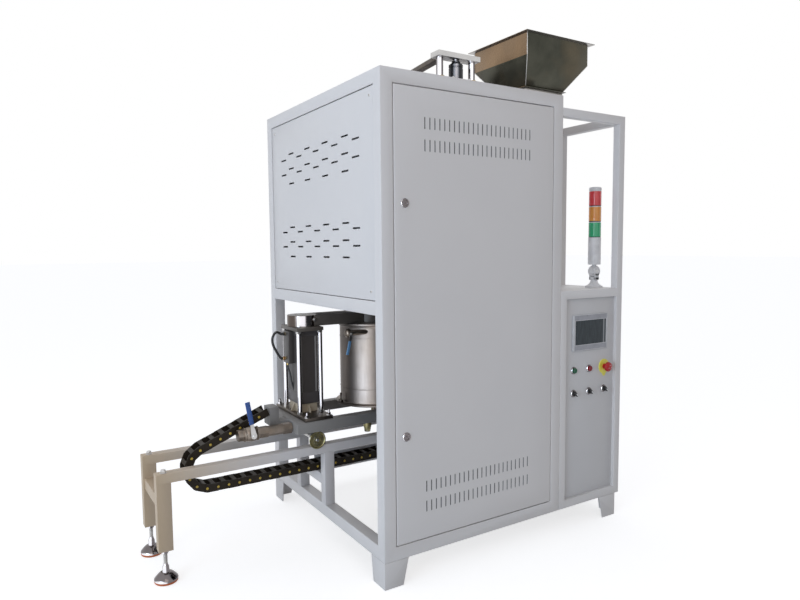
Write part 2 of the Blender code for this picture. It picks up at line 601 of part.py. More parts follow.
class Workshop:
    """Holds the collections, the bodies' empties and the looks, and makes the objects."""

    def __init__(self):
        self.parts = collection("frit_melting_furnace")
        self.cutters = collection("cutters")
        self.frames = {}
        self.looks = {
            "powder_coat": look("powder_coat", (0.80, 0.80, 0.80), 0.45, 0.0),
            "track_coat": look("track_coat", (0.58, 0.53, 0.49), 0.5, 0.0),
            "grey_coat": look("grey_coat", (0.33, 0.34, 0.34), 0.5, 0.0),
            "stainless": look("stainless", (0.60, 0.58, 0.55), 0.28, 1.0),
            "chrome": look("chrome", (0.80, 0.80, 0.82), 0.10, 1.0),
            "zinc": look("zinc", (0.46, 0.45, 0.33), 0.42, 1.0),
            "dark_steel": look("dark_steel", (0.12, 0.11, 0.10), 0.35, 1.0),
            "black_plastic": look("black_plastic", (0.02, 0.02, 0.022), 0.4, 0.0),
            "light_plastic": look("light_plastic", (0.78, 0.78, 0.78), 0.4, 0.0),
            "screen_glass": look("screen_glass", (0.05, 0.07, 0.09), 0.12, 0.0),
            "green_plastic": look("green_plastic", (0.02, 0.33, 0.12), 0.3, 0.0),
            "red_plastic": look("red_plastic", (0.60, 0.03, 0.03), 0.3, 0.0),
            "amber_plastic": look("amber_plastic", (0.80, 0.32, 0.02), 0.3, 0.0),
            "blue_plastic": look("blue_plastic", (0.03, 0.10, 0.45), 0.4, 0.0),
            "refractory": look("refractory", (0.80, 0.77, 0.70), 0.9, 0.0),
            "crucible_clay": look("crucible_clay", (0.60, 0.55, 0.48), 0.8, 0.0),
            "heater_rod": look("heater_rod", (0.20, 0.19, 0.19), 0.6, 0.3),
        }
        root = bpy.data.objects.new("furnace_origin", None)
        root.location = -MODEL_CENTRE
        self.parts.objects.link(root)
        self.frames["frame"] = (root, Vector((0, 0, 0)))

    def body(self, name, parent, place):
        """Add an empty on a joint's axis, for the pieces of one body."""
        holder, origin = self.frames[parent]
        empty = bpy.data.objects.new(name + "_axis", None)
        empty.parent = holder
        empty.location = Vector(place) - origin
        self.parts.objects.link(empty)
        self.frames[name] = (empty, Vector(place))

    def helper(self, name, holder, origin, shapes):
        """Make the wire mesh that a Boolean modifier reads."""
        bm = bmesh.new()
        for add in shapes:
            add(bm)
        bmesh.ops.translate(bm, verts=bm.verts, vec=-origin)
        mesh = bpy.data.meshes.new(name)
        bm.to_mesh(mesh)
        bm.free()
        made = bpy.data.objects.new(name, mesh)
        made.parent = holder
        made.hide_render = True
        made.display_type = "WIRE"
        self.cutters.objects.link(made)
        return made

    def boolean(self, piece, holder, origin, operation, shapes):
        """Join shapes to a piece, or cut them out of it."""
        if not shapes:
            return
        helper = self.helper(piece.name + "_" + operation.lower(), holder, origin, shapes)
        modifier = piece.modifiers.new(operation.lower(), "BOOLEAN")
        modifier.operation = operation
        modifier.object = helper
        modifier.solver = "EXACT"
        modifier.use_self = len(shapes) > 1

    def solid(self, name, look_name, body, base, join=(), cut=()):
        """Make a piece from a base shape, with others joined to it and then cut out of it."""
        holder, origin = self.frames[body]
        bm = bmesh.new()
        base(bm)
        bmesh.ops.translate(bm, verts=bm.verts, vec=-origin)
        mesh = bpy.data.meshes.new(name)
        bm.to_mesh(mesh)
        bm.free()
        mesh.shade_smooth()
        mesh.set_sharp_from_angle(angle=math.radians(35))
        mesh.materials.append(self.looks[look_name])
        piece = bpy.data.objects.new(name, mesh)
        piece.parent = holder
        self.parts.objects.link(piece)
        self.boolean(piece, holder, origin, "UNION", list(join))
        self.boolean(piece, holder, origin, "DIFFERENCE", list(cut))
        return piece

    def turned(self, name, look_name, body, centre, direction, profile, join=(), cut=()):
        """Make a turned piece: its profile of (radius, height) runs from top to bottom."""
        holder, origin = self.frames[body]
        mesh = bpy.data.meshes.new(name)
        points = [(radius, 0, height) for radius, height in profile]
        mesh.from_pydata(points, [(i, i + 1) for i in range(len(points) - 1)], [])
        mesh.materials.append(self.looks[look_name])
        piece = bpy.data.objects.new(name, mesh)
        piece.parent = holder
        piece.location = Vector(centre) - origin
        piece.rotation_euler = Vector(direction).to_track_quat("Z", "Y").to_euler()
        self.parts.objects.link(piece)
        screw = piece.modifiers.new("turned", "SCREW")
        screw.axis = "Z"
        screw.steps = ROUND_SIDES
        screw.render_steps = ROUND_SIDES
        screw.use_merge_vertices = True
        screw.merge_threshold = 0.00001
        screw.use_smooth_shade = False
        self.boolean(piece, holder, origin, "UNION", list(join))
        self.boolean(piece, holder, origin, "DIFFERENCE", list(cut))
        return piece


# Cabinet

def make_main_frame(shop):
    """The cabinet's welded tube frame, with the hinge pins, furnace bearers and track rest."""
    right = CABINET_WIDTH - TUBE
    back = CABINET_DEPTH - TUBE
    middle = TUBE / 2
    members = []
    for x in (0, right):
        for y in (0, back):
            members.append(box((x, y, FRAME_BOTTOM), (x + TUBE, y + TUBE, CABINET_TOP)))
    for bottom in (FRAME_BOTTOM, CABINET_TOP - TUBE):
        for y in (0, back):
            members.append(box((middle, y, bottom), (right + middle, y + TUBE, bottom + TUBE)))
        for x in (0, right):
            members.append(box((x, middle, bottom), (x + TUBE, back + middle, bottom + TUBE)))
    mid_bottom = MID_RAIL_TOP - TUBE
    behind_panel = CABINET_WIDTH - PANEL_SETBACK - SHEET - GAP
    members.append(box((0, middle, mid_bottom), (TUBE, back + middle, MID_RAIL_TOP)))
    members.append(box((right, middle, mid_bottom), (behind_panel, back + middle, MID_RAIL_TOP)))
    members.append(box((middle, back, mid_bottom), (right + middle, CABINET_DEPTH, MID_RAIL_TOP)))
    for side in (-1, 1):
        y = FURNACE_Y + side * BEARER_FROM_CENTRE - middle
        members.append(box((middle, y, mid_bottom), (right + middle, y + TUBE, MID_RAIL_TOP)))
    rest_left = REST_LEG_LEFT + LEG_SIZE / 2 - middle
    members.append(box((rest_left, middle, FRAME_BOTTOM),
                       (rest_left + TUBE, back + middle, FRAME_BOTTOM + TUBE)))
    for end, tip in ((DOOR_TOP + DOOR_GAP + GAP, DOOR_TOP - HINGE_PIN_DEPTH),
                     (DOOR_BOTTOM - DOOR_GAP - GAP, DOOR_BOTTOM + HINGE_PIN_DEPTH)):
        members.append(bar((HINGE_X, HINGE_INSET, end), (HINGE_X, HINGE_INSET, tip), HINGE_PIN_RADIUS))
    shop.solid("main_frame", "powder_coat", "frame", members[0], join=members[1:])


def panel_slots():
    """The left panel's slots: every second column holds one more."""
    slots = []
    height = CABINET_TOP - MID_RAIL_TOP
    column_pitch = CABINET_DEPTH * PANEL_COLUMN_PITCH_SHARE
    row_pitch = height * PANEL_ROW_PITCH_SHARE
    first = CABINET_DEPTH / 2 - column_pitch * (PANEL_COLUMNS - 1) / 2
    for share in PANEL_GROUP_TOP_SHARES:
        top = MID_RAIL_TOP + height * share
        for column in range(PANEL_COLUMNS):
            y = first + column * column_pitch
            count = 2 + column % 2
            start = top if column % 2 else top - row_pitch * PANEL_STAGGER_SHARE
            for row in range(count):
                z = start - row * row_pitch
                slots.append(box(
                    (PANEL_SETBACK - OVERRUN, y - PANEL_SLOT_LENGTH / 2, z - PANEL_SLOT_HEIGHT / 2),
                    (PANEL_SETBACK + OVERRUN, y + PANEL_SLOT_LENGTH / 2, z + PANEL_SLOT_HEIGHT / 2)))
    return slots


def make_panels(shop):
    """The sheets that fill the frame, each a little behind the tubes' faces."""
    inner_left = TUBE + GAP
    inner_right = CABINET_WIDTH - TUBE - GAP
    inner_back = CABINET_DEPTH - TUBE - GAP
    upper = MID_RAIL_TOP + GAP
    lower = FRAME_BOTTOM + TUBE + GAP
    top = CABINET_TOP - TUBE - GAP
    right_face = CABINET_WIDTH - PANEL_SETBACK
    back_face = CABINET_DEPTH - PANEL_SETBACK
    shop.solid("left_panel", "powder_coat", "frame",
               box((PANEL_SETBACK, inner_left, upper), (PANEL_SETBACK + SHEET, inner_back, top)),
               cut=panel_slots())
    shop.solid("right_panel", "powder_coat", "frame",
               box((right_face - SHEET, inner_left, lower), (right_face, inner_back, top)))
    shop.solid("back_panel", "powder_coat", "frame",
               box((inner_left, back_face - SHEET, upper), (inner_right, back_face, top)))
    low, high = CABINET_TOP - SHEET - OVERRUN, CABINET_TOP + OVERRUN
    holes = [
        bar((FURNACE_X, FURNACE_Y, low), (FURNACE_X, FURNACE_Y, high), STOPPER_ROD_RADIUS * 2),
        bar((*FEED_END, low), (*FEED_END, high), CHUTE_RADIUS + RUN_FIT),
    ]
    for side in (-1, 1):
        x = STOPPER_LIFT_X + side * COLUMN_SPACING / 2
        holes.append(bar((x, STOPPER_LIFT_Y, low), (x, STOPPER_LIFT_Y, high), COLUMN_RADIUS + 2 * RUN_FIT))
    shop.solid("top_panel", "powder_coat", "frame",
               box((inner_left, inner_left, CABINET_TOP - SHEET), (inner_right, inner_back, CABINET_TOP)),
               cut=holes)


def door_vents():
    """Four rows of upright slots."""
    span = CABINET_WIDTH * VENT_SPAN_SHARE
    pitch = (span - VENT_WIDTH) / (VENT_COUNT - 1)
    slots = []
    for share in VENT_ROW_SHARES:
        z = DOOR_BOTTOM + (DOOR_TOP - DOOR_BOTTOM) * share
        for i in range(VENT_COUNT):
            x = (CABINET_WIDTH - span) / 2 + i * pitch
            slots.append(box((x, -OVERRUN, z), (x + VENT_WIDTH, OVERRUN, z + VENT_HEIGHT)))
    return slots


def make_door(shop):
    """The front door: a folded sheet, open at the back, that turns on two pins."""
    shop.body("door", "frame", (HINGE_X, HINGE_INSET, DOOR_BOTTOM))
    cuts = [box((DOOR_LEFT + SHEET, SHEET, DOOR_BOTTOM + SHEET),
                (DOOR_RIGHT - SHEET, DOOR_DEPTH + OVERRUN, DOOR_TOP - SHEET))]
    cuts += door_vents()
    for z in LOCK_HEIGHTS.values():
        cuts.append(bar((LOCK_X, -OVERRUN, z), (LOCK_X, OVERRUN, z), LOCK_BODY_RADIUS + RUN_FIT))
    for z in (DOOR_BOTTOM, DOOR_TOP):
        cuts.append(bar((HINGE_X, HINGE_INSET, z - OVERRUN), (HINGE_X, HINGE_INSET, z + OVERRUN),
                        HINGE_PIN_RADIUS + RUN_FIT))
    shop.solid("front_door", "powder_coat", "door",
               box((DOOR_LEFT, 0, DOOR_BOTTOM), (DOOR_RIGHT, DOOR_DEPTH, DOOR_TOP)), cut=cuts)


def make_lock(shop, name, height):
    """A cam lock, whose tongue hangs down when it is open."""
    shop.body(name, "door", (LOCK_X, 0, height))
    tongue_front = TUBE + LOCK_TONGUE_CLEARANCE
    tongue_back = tongue_front + LOCK_TONGUE_THICKNESS
    half = LOCK_TONGUE_WIDTH / 2
    profile = [
        (0, LOCK_FACE_PROUD + GAP), (LOCK_FACE_RADIUS, LOCK_FACE_PROUD + GAP), (LOCK_FACE_RADIUS, GAP),
        (LOCK_BODY_RADIUS, GAP), (LOCK_BODY_RADIUS, -tongue_back), (0, -tongue_back),
    ]
    tongue = box((LOCK_X - half, tongue_front, height - LOCK_TONGUE_LENGTH),
                 (LOCK_X + half, tongue_back + GAP, height + half))
    shop.turned(name, "chrome", name, (LOCK_X, 0, height), (0, -1, 0), profile, join=[tongue])


def make_foot(shop, name, corner_x, corner_y, x_side, y_side):
    """A bent-sheet foot: two plates that narrow to the floor, under a top plate."""
    top = FRAME_BOTTOM - GAP

    def plate(top_reach, floor_reach, along_x):
        sections = []
        for reach, z in ((floor_reach, 0), (top_reach, top)):
            width = reach if along_x else FOOT_SHEET
            depth = FOOT_SHEET if along_x else reach
            ring = [(corner_x + x_side * x, corner_y + y_side * y, z)
                    for x, y in ((0, 0), (width, 0), (width, depth), (0, depth))]
            sections.append(ring)
        return loft(sections)

    far_x = corner_x + x_side * FOOT_TOP_WIDTH
    far_y = corner_y + y_side * FOOT_TOP_DEPTH
    top_plate = box((min(corner_x, far_x), min(corner_y, far_y), top - FOOT_SHEET),
                    (max(corner_x, far_x), max(corner_y, far_y), top))
    shop.solid(name, "powder_coat", "frame", top_plate,
               join=[plate(FOOT_TOP_WIDTH, FOOT_FLOOR_WIDTH, True),
                     plate(FOOT_TOP_DEPTH, FOOT_FLOOR_DEPTH, False)])


def make_feet(shop):
    """Three feet under the cabinet and one under the tower."""
    tower_corner = TOWER_RIGHT - TOWER_FOOT_INSET
    make_foot(shop, "foot_front_left", 0, 0, 1, 1)
    make_foot(shop, "foot_back_left", 0, CABINET_DEPTH, 1, -1)
    make_foot(shop, "foot_back_right", CABINET_WIDTH, CABINET_DEPTH, -1, -1)
    make_foot(shop, "foot_front_right", tower_corner, 0, -1, 1)


# Control tower

def make_tower_frame(shop):
    """The tower's tube frame: the left posts end at the console's top."""
    right = TOWER_RIGHT - TOWER_TUBE
    back = TOWER_DEPTH - TOWER_TUBE
    middle = TOWER_TUBE / 2
    members = []
    for x, top in ((TOWER_LEFT, CONSOLE_TOP), (right, TOWER_TOP)):
        for y in (0, back):
            members.append(box((x, y, FRAME_BOTTOM), (x + TOWER_TUBE, y + TOWER_TUBE, top)))
    for bottom in (FRAME_BOTTOM, CONSOLE_TOP - TOWER_TUBE, TOWER_TOP - TOWER_TUBE):
        start = TOWER_LEFT if bottom > CONSOLE_TOP else TOWER_LEFT + middle
        for y in (0, back):
            members.append(box((start, y, bottom), (right + middle, y + TOWER_TUBE, bottom + TOWER_TUBE)))
        sides = (right,) if bottom > CONSOLE_TOP else (TOWER_LEFT, right)
        for x in sides:
            members.append(box((x, middle, bottom), (x + TOWER_TUBE, back + middle, bottom + TOWER_TUBE)))
    shop.solid("tower_frame", "powder_coat", "frame", members[0], join=members[1:])


def make_console_box(shop):
    """The sheet box between the tower's tubes, open at the front, with a raised top."""
    left, right = TOWER_LEFT + CONSOLE_SIDE_SETBACK, TOWER_RIGHT - CONSOLE_SIDE_SETBACK
    front, back = TOWER_TUBE + GAP, TOWER_DEPTH - TOWER_TUBE - GAP
    bottom = FRAME_BOTTOM + TOWER_TUBE + GAP
    shoulder = CONSOLE_TOP - TOWER_TUBE - GAP
    top_left, top_right = TOWER_LEFT + TOWER_TUBE + GAP, TOWER_RIGHT - TOWER_TUBE - GAP
    shop.solid(
        "console_box", "powder_coat", "frame",
        box((left, front, bottom), (right, back, shoulder)),
        join=[box((top_left, front, shoulder - TOWER_TUBE), (top_right, back, CONSOLE_TOP))],
        cut=[box((left + SHEET, front - OVERRUN, bottom + SHEET),
                 (right - SHEET, back - SHEET, shoulder - SHEET)),
             box((top_left + SHEET, front + SHEET, shoulder - TOWER_TUBE / 2),
                 (top_right - SHEET, back - SHEET, CONSOLE_TOP - SHEET))])


def control_places():
    """Where the push buttons and selector switches sit: name, x and z."""
    places = [("start_button", CONTROL_COLUMNS["left"], BUTTON_ROW),
              ("stop_button", CONTROL_COLUMNS["middle"], BUTTON_ROW)]
    places += [("selector_" + column, x, SELECTOR_ROW) for column, x in CONTROL_COLUMNS.items()]
    return places


def make_control_panel(shop):
    """The recessed plate, with the fixed bezels and the emergency stop's collar."""
    left, right = TOWER_LEFT + TOWER_TUBE + GAP, TOWER_RIGHT - TOWER_TUBE - GAP
    bottom, top = FRAME_BOTTOM + TOWER_TUBE + GAP, CONSOLE_TOP - TOWER_TUBE - GAP
    front, back = PANEL_RECESS, PANEL_RECESS + SHEET
    bore = BUTTON_RADIUS + RUN_FIT
    rings = []
    cuts = []
    for _, x, z in control_places():
        rings.append(bar((x, front - BEZEL_PROUD, z), (x, front + SHEET / 2, z), BEZEL_RADIUS))
        cuts.append(bar((x, front - OVERRUN, z), (x, back + OVERRUN, z), bore))
    x = CONTROL_COLUMNS["right"]
    rings.append(bar((x, front - ESTOP_COLLAR_PROUD, BUTTON_ROW), (x, front + SHEET / 2, BUTTON_ROW),
                     ESTOP_COLLAR_RADIUS, sides=ROUND_SIDES))
    cuts.append(bar((x, front - OVERRUN, BUTTON_ROW), (x, back + OVERRUN, BUTTON_ROW), bore))
    x, z = HMI_CENTRE
    half_width = HMI_WIDTH / 2 - HMI_BODY_MARGIN + RUN_FIT
    half_height = HMI_HEIGHT / 2 - HMI_BODY_MARGIN + RUN_FIT
    cuts.append(box((x - half_width, front - OVERRUN, z - half_height),
                    (x + half_width, back + OVERRUN, z + half_height)))
    shop.solid("control_panel", "powder_coat", "frame", box((left, front, bottom), (right, back, top)),
               join=rings, cut=cuts)


def make_touch_panel(shop):
    """The touch panel's housing and its screen."""
    x, z = HMI_CENTRE
    front = PANEL_RECESS - HMI_PROUD
    body_half_width = HMI_WIDTH / 2 - HMI_BODY_MARGIN
    body_half_height = HMI_HEIGHT / 2 - HMI_BODY_MARGIN
    half_width, half_height = SCREEN_WIDTH / 2, SCREEN_HEIGHT / 2
    shop.solid(
        "hmi_housing", "light_plastic", "frame",
        box((x - HMI_WIDTH / 2, front, z - HMI_HEIGHT / 2),
            (x + HMI_WIDTH / 2, PANEL_RECESS - GAP, z + HMI_HEIGHT / 2)),
        join=[box((x - body_half_width, PANEL_RECESS - HMI_PROUD / 2, z - body_half_height),
                  (x + body_half_width, PANEL_RECESS + HMI_BODY_DEPTH, z + body_half_height))],
        cut=[box((x - half_width, front - OVERRUN, z - half_height),
                 (x + half_width, front + SCREEN_RECESS, z + half_height))])
    shop.solid(
        "hmi_screen", "screen_glass", "frame",
        box((x - half_width + GAP, front + SCREEN_RECESS - GAP - SCREEN_THICKNESS, z - half_height + GAP),
            (x + half_width - GAP, front + SCREEN_RECESS - GAP, z + half_height - GAP)))


def make_push_button(shop, name, look_name, x):
    """A flush push button that slides in its bezel."""
    place = (x, PANEL_RECESS, BUTTON_ROW)
    shop.body(name, "frame", place)
    profile = [(0, BUTTON_PROUD), (BUTTON_RADIUS, BUTTON_PROUD),
               (BUTTON_RADIUS, -BUTTON_BEHIND), (0, -BUTTON_BEHIND)]
    shop.turned(name, look_name, name, place, (0, -1, 0), profile)


def make_selector(shop, name, x):
    """A selector switch: its handle lies across from upper left to lower right."""
    place = (x, PANEL_RECESS, SELECTOR_ROW)
    shop.body(name, "frame", place)
    profile = [(0, SELECTOR_PROUD), (BUTTON_RADIUS, SELECTOR_PROUD),
               (BUTTON_RADIUS, -BUTTON_BEHIND), (0, -BUTTON_BEHIND)]
    middle = PANEL_RECESS - (SELECTOR_PROUD + SELECTOR_HANDLE_PROUD) / 2 + SHEET / 2
    reach = SELECTOR_HANDLE_LENGTH / 2 * math.sqrt(0.5)
    handle = beam((x - reach, middle, SELECTOR_ROW + reach), (x + reach, middle, SELECTOR_ROW - reach),
                  SELECTOR_HANDLE_WIDTH, SELECTOR_HANDLE_PROUD - SELECTOR_PROUD + SHEET, up=(0, 1, 0))
    shop.turned(name, "black_plastic", name, place, (0, -1, 0), profile, join=[handle])


def make_emergency_stop(shop):
    """The mushroom head of the emergency stop."""
    place = (CONTROL_COLUMNS["right"], PANEL_RECESS, BUTTON_ROW)
    shop.body("estop", "frame", place)
    profile = [
        (0, ESTOP_PROUD), (ESTOP_HEAD_RADIUS * ESTOP_CROWN_SHARE, ESTOP_PROUD - SHEET / 2),
        (ESTOP_HEAD_RADIUS, ESTOP_RIM_PROUD), (ESTOP_HEAD_RADIUS, ESTOP_NECK_PROUD),
        (BUTTON_RADIUS, ESTOP_NECK_PROUD), (BUTTON_RADIUS, -BUTTON_BEHIND), (0, -BUTTON_BEHIND),
    ]
    shop.turned("estop_head", "red_plastic", "estop", place, (0, -1, 0), profile)


def make_signal_light(shop):
    """The signal light: a fixed foot, and a column that folds down on a knuckle."""
    x, y = LIGHT_PLACE
    bottom = CONSOLE_TOP + GAP
    knuckle = (x, y, LIGHT_KNUCKLE_Z)
    half = LIGHT_KNUCKLE_THICKNESS / 2
    ear_inner = half + RUN_FIT
    ear_outer = ear_inner + LIGHT_EAR_THICKNESS
    foot = [
        (0, LIGHT_NECK_HEIGHT), (LIGHT_NECK_RADIUS, LIGHT_NECK_HEIGHT),
        (LIGHT_NECK_RADIUS * 2, LIGHT_FOOT_THICKNESS * 2), (LIGHT_FOOT_RADIUS, LIGHT_FOOT_THICKNESS),
        (LIGHT_FOOT_RADIUS, 0), (0, 0),
    ]
    ears = [bar((x, y - ear_outer, LIGHT_KNUCKLE_Z), (x, y + ear_outer, LIGHT_KNUCKLE_Z),
                LIGHT_EAR_RADIUS, sides=ROUND_SIDES),
            box((x - LIGHT_EAR_RADIUS, y - ear_outer, bottom + LIGHT_NECK_HEIGHT / 2),
                (x + LIGHT_EAR_RADIUS, y + ear_outer, LIGHT_KNUCKLE_Z))]
    clear = LIGHT_KNUCKLE_RADIUS + RUN_FIT
    slot_bottom = LIGHT_KNUCKLE_Z - clear
    base = shop.turned(
        "light_base", "light_plastic", "frame", (x, y, bottom), (0, 0, 1), foot, join=ears,
        cut=[box((x - LIGHT_FOOT_RADIUS, y - ear_inner, slot_bottom),
                 (x + LIGHT_FOOT_RADIUS, y + ear_inner, LIGHT_KNUCKLE_Z + LIGHT_FOOT_RADIUS))])
    holder, origin = shop.frames["frame"]
    pin = helper_pin(shop, holder, origin, x, y, ear_outer)
    modifier = base.modifiers.new("pin", "BOOLEAN")
    modifier.operation = "UNION"
    modifier.object = pin
    shop.body("light", "frame", knuckle)
    body_bottom = LIGHT_BODY_Z
    body_top = body_bottom + LIGHT_BODY_HEIGHT
    shop.solid(
        "light_body", "light_plastic", "light",
        bar((x, y, body_bottom), (x, y, body_top), LIGHT_RADIUS, sides=ROUND_SIDES),
        join=[bar((x, y - half, LIGHT_KNUCKLE_Z), (x, y + half, LIGHT_KNUCKLE_Z),
                  LIGHT_KNUCKLE_RADIUS, sides=ROUND_SIDES),
              bar((x, y, LIGHT_KNUCKLE_Z + LIGHT_PIN_RADIUS * 2), (x, y, body_bottom + half), half)],
        cut=[bar((x, y - half - OVERRUN, LIGHT_KNUCKLE_Z), (x, y + half + OVERRUN, LIGHT_KNUCKLE_Z),
                 LIGHT_PIN_RADIUS + RUN_FIT)])
    z = body_top
    for name, look_name in (("lens_green", "green_plastic"), ("lens_amber", "amber_plastic")):
        profile = [(0, LENS_HEIGHT), (LENS_RADIUS, LENS_HEIGHT), (LENS_RADIUS, GAP), (0, GAP)]
        shop.turned(name, look_name, "light", (x, y, z), (0, 0, 1), profile)
        z += LENS_HEIGHT
    cap_top = LENS_HEIGHT + LIGHT_CAP_HEIGHT
    profile = [(0, cap_top), (LIGHT_CAP_RADIUS, cap_top), (LENS_RADIUS, LENS_HEIGHT), (LENS_RADIUS, GAP),
               (0, GAP)]
    shop.turned("lens_red", "red_plastic", "light", (x, y, z), (0, 0, 1), profile)


def helper_pin(shop, holder, origin, x, y, ear_outer):
    """The pin across the light's ears, joined after the slot between them is cut."""
    reach = ear_outer - LIGHT_EAR_THICKNESS / 2
    return shop.helper("light_base_pin", holder, origin, [
        bar((x, y - reach, LIGHT_KNUCKLE_Z), (x, y + reach, LIGHT_KNUCKLE_Z), LIGHT_PIN_RADIUS)])


# Roof

def make_hopper(shop):
    """The hopper: an upright collar over four tapered walls, with a lip and an outlet flange."""
    outlet = (OUTLET_LEFT, OUTLET_FRONT, OUTLET_WIDTH, OUTLET_DEPTH)
    collar = (HOPPER_LEFT, HOPPER_FRONT, HOPPER_WIDTH, HOPPER_DEPTH)

    def inset(rectangle, margin):
        left, front, width, depth = rectangle
        return left + margin, front + margin, width - 2 * margin, depth - 2 * margin

    flange_bottom = OUTLET_HEIGHT
    flange_left, flange_front, flange_width, flange_depth = inset(outlet, -HOPPER_FLANGE)
    lip_left, lip_front, lip_width, lip_depth = inset(collar, -HOPPER_LIP)
    shop.solid(
        "hopper", "stainless", "frame",
        loft([level_rectangle(*outlet, flange_bottom), level_rectangle(*collar, HOPPER_SEAM),
              level_rectangle(*collar, HOPPER_TOP - HOPPER_WALL / 2)]),
        join=[box((flange_left, flange_front, flange_bottom),
                  (flange_left + flange_width, flange_front + flange_depth, flange_bottom + HOPPER_WALL)),
              box((lip_left, lip_front, HOPPER_TOP - HOPPER_WALL),
                  (lip_left + lip_width, lip_front + lip_depth, HOPPER_TOP))],
        cut=[loft([level_rectangle(*inset(outlet, HOPPER_WALL), flange_bottom - OVERRUN),
                   level_rectangle(*inset(outlet, HOPPER_WALL), flange_bottom),
                   level_rectangle(*inset(collar, HOPPER_WALL), HOPPER_SEAM),
                   level_rectangle(*inset(collar, HOPPER_WALL), HOPPER_TOP + OVERRUN)])])


def feed_axis():
    """The feed screw's start, direction and length, and its height above the roof."""
    height = CABINET_TOP + GAP + FEED_TUBE_RADIUS + FEED_WALL / 2
    start = Vector((*FEED_START, height))
    end = Vector((*FEED_END, height))
    return start, (end - start).normalized(), (end - start).length


def make_feeder(shop):
    """The feeder: a trough under the hopper, a tube with a screw, a drop chute and a gear motor."""
    start, along, length = feed_axis()
    end = start + along * length
    tube_end = length + CHUTE_RADIUS + FEED_WALL
    bottom, top = CABINET_TOP + GAP, OUTLET_HEIGHT - GAP
    left, front = OUTLET_LEFT, OUTLET_FRONT
    right, back = left + OUTLET_WIDTH, front + OUTLET_DEPTH
    chute_top = start.z + CHUTE_BORE_RADIUS
    chute_bottom = FURNACE_COVER_TOP + GAP
    shop.solid(
        "feeder_housing", "stainless", "frame",
        box((left, front, bottom), (right, back, top)),
        join=[bar(start, start + along * tube_end, FEED_TUBE_RADIUS),
              bar((end.x, end.y, chute_bottom), (end.x, end.y, chute_top), CHUTE_RADIUS)],
        cut=[box((left + FEED_WALL, front + FEED_WALL, bottom + FEED_WALL),
                 (right - FEED_WALL, back - FEED_WALL, top + OVERRUN)),
             bar(start, start + along * (tube_end - FEED_WALL), FEED_BORE_RADIUS),
             bar(start, start + along * (tube_end + OVERRUN), SCREW_SHAFT_RADIUS + RUN_FIT),
             bar((end.x, end.y, chute_bottom - OVERRUN), (end.x, end.y, chute_top - FEED_WALL),
                 CHUTE_BORE_RADIUS)])
    case_start = tube_end + RUN_FIT
    shaft_end = case_start + GEARCASE_THICKNESS / 2
    shop.body("feed_screw", "frame", tuple(start))
    shop.solid("feed_screw", "stainless", "feed_screw",
               bar(start - along * SCREW_BACK, start + along * shaft_end, SCREW_SHAFT_RADIUS),
               join=[screw_flight(start, along, length)])
    side = along.cross(Vector((0, 0, 1)))
    motor = start + side * MOTOR_FROM_SCREW
    case_half = MOTOR_RADIUS + GEARCASE_RIM
    motor.z = CABINET_TOP + GAP + case_half
    case_middle = start + along * (case_start + GEARCASE_THICKNESS / 2)
    case_middle.z = motor.z
    shop.solid("feeder_motor", "dark_steel", "frame",
               beam(case_middle - side * GEARCASE_MARGIN, case_middle + side * (MOTOR_FROM_SCREW + case_half),
                    GEARCASE_THICKNESS, case_half * 2),
               join=[bar(motor + along * (case_start + GEARCASE_THICKNESS / 2),
                         motor + along * (case_start - MOTOR_LENGTH), MOTOR_RADIUS)],
               cut=[bar(start + along * (case_start - OVERRUN), start + along * (shaft_end + RUN_FIT),
                        SCREW_SHAFT_RADIUS + RUN_FIT)])


def screw_flight(start, along, length):
    """The feed screw's flight: a thin blade that winds round the shaft."""
    side = along.cross(Vector((0, 0, 1)))
    up = Vector((0, 0, 1))
    turns = (length + SCREW_BACK - SCREW_PITCH) / SCREW_PITCH
    steps = int(turns * SCREW_TURN_STEPS)
    inner = SCREW_SHAFT_RADIUS / 2
    sections = []
    for i in range(steps + 1):
        angle = 2 * math.pi * (i + 1 / 4) / SCREW_TURN_STEPS
        place = start + along * (i * SCREW_PITCH / SCREW_TURN_STEPS - SCREW_BACK + SCREW_PITCH / 2)
        out = side * math.cos(angle) + up * math.sin(angle)
        half = along * SCREW_FLIGHT / 2
        sections.append([place + out * inner - half, place + out * SCREW_RADIUS - half,
                         place + out * SCREW_RADIUS + half, place + out * inner + half])
    return loft(sections)


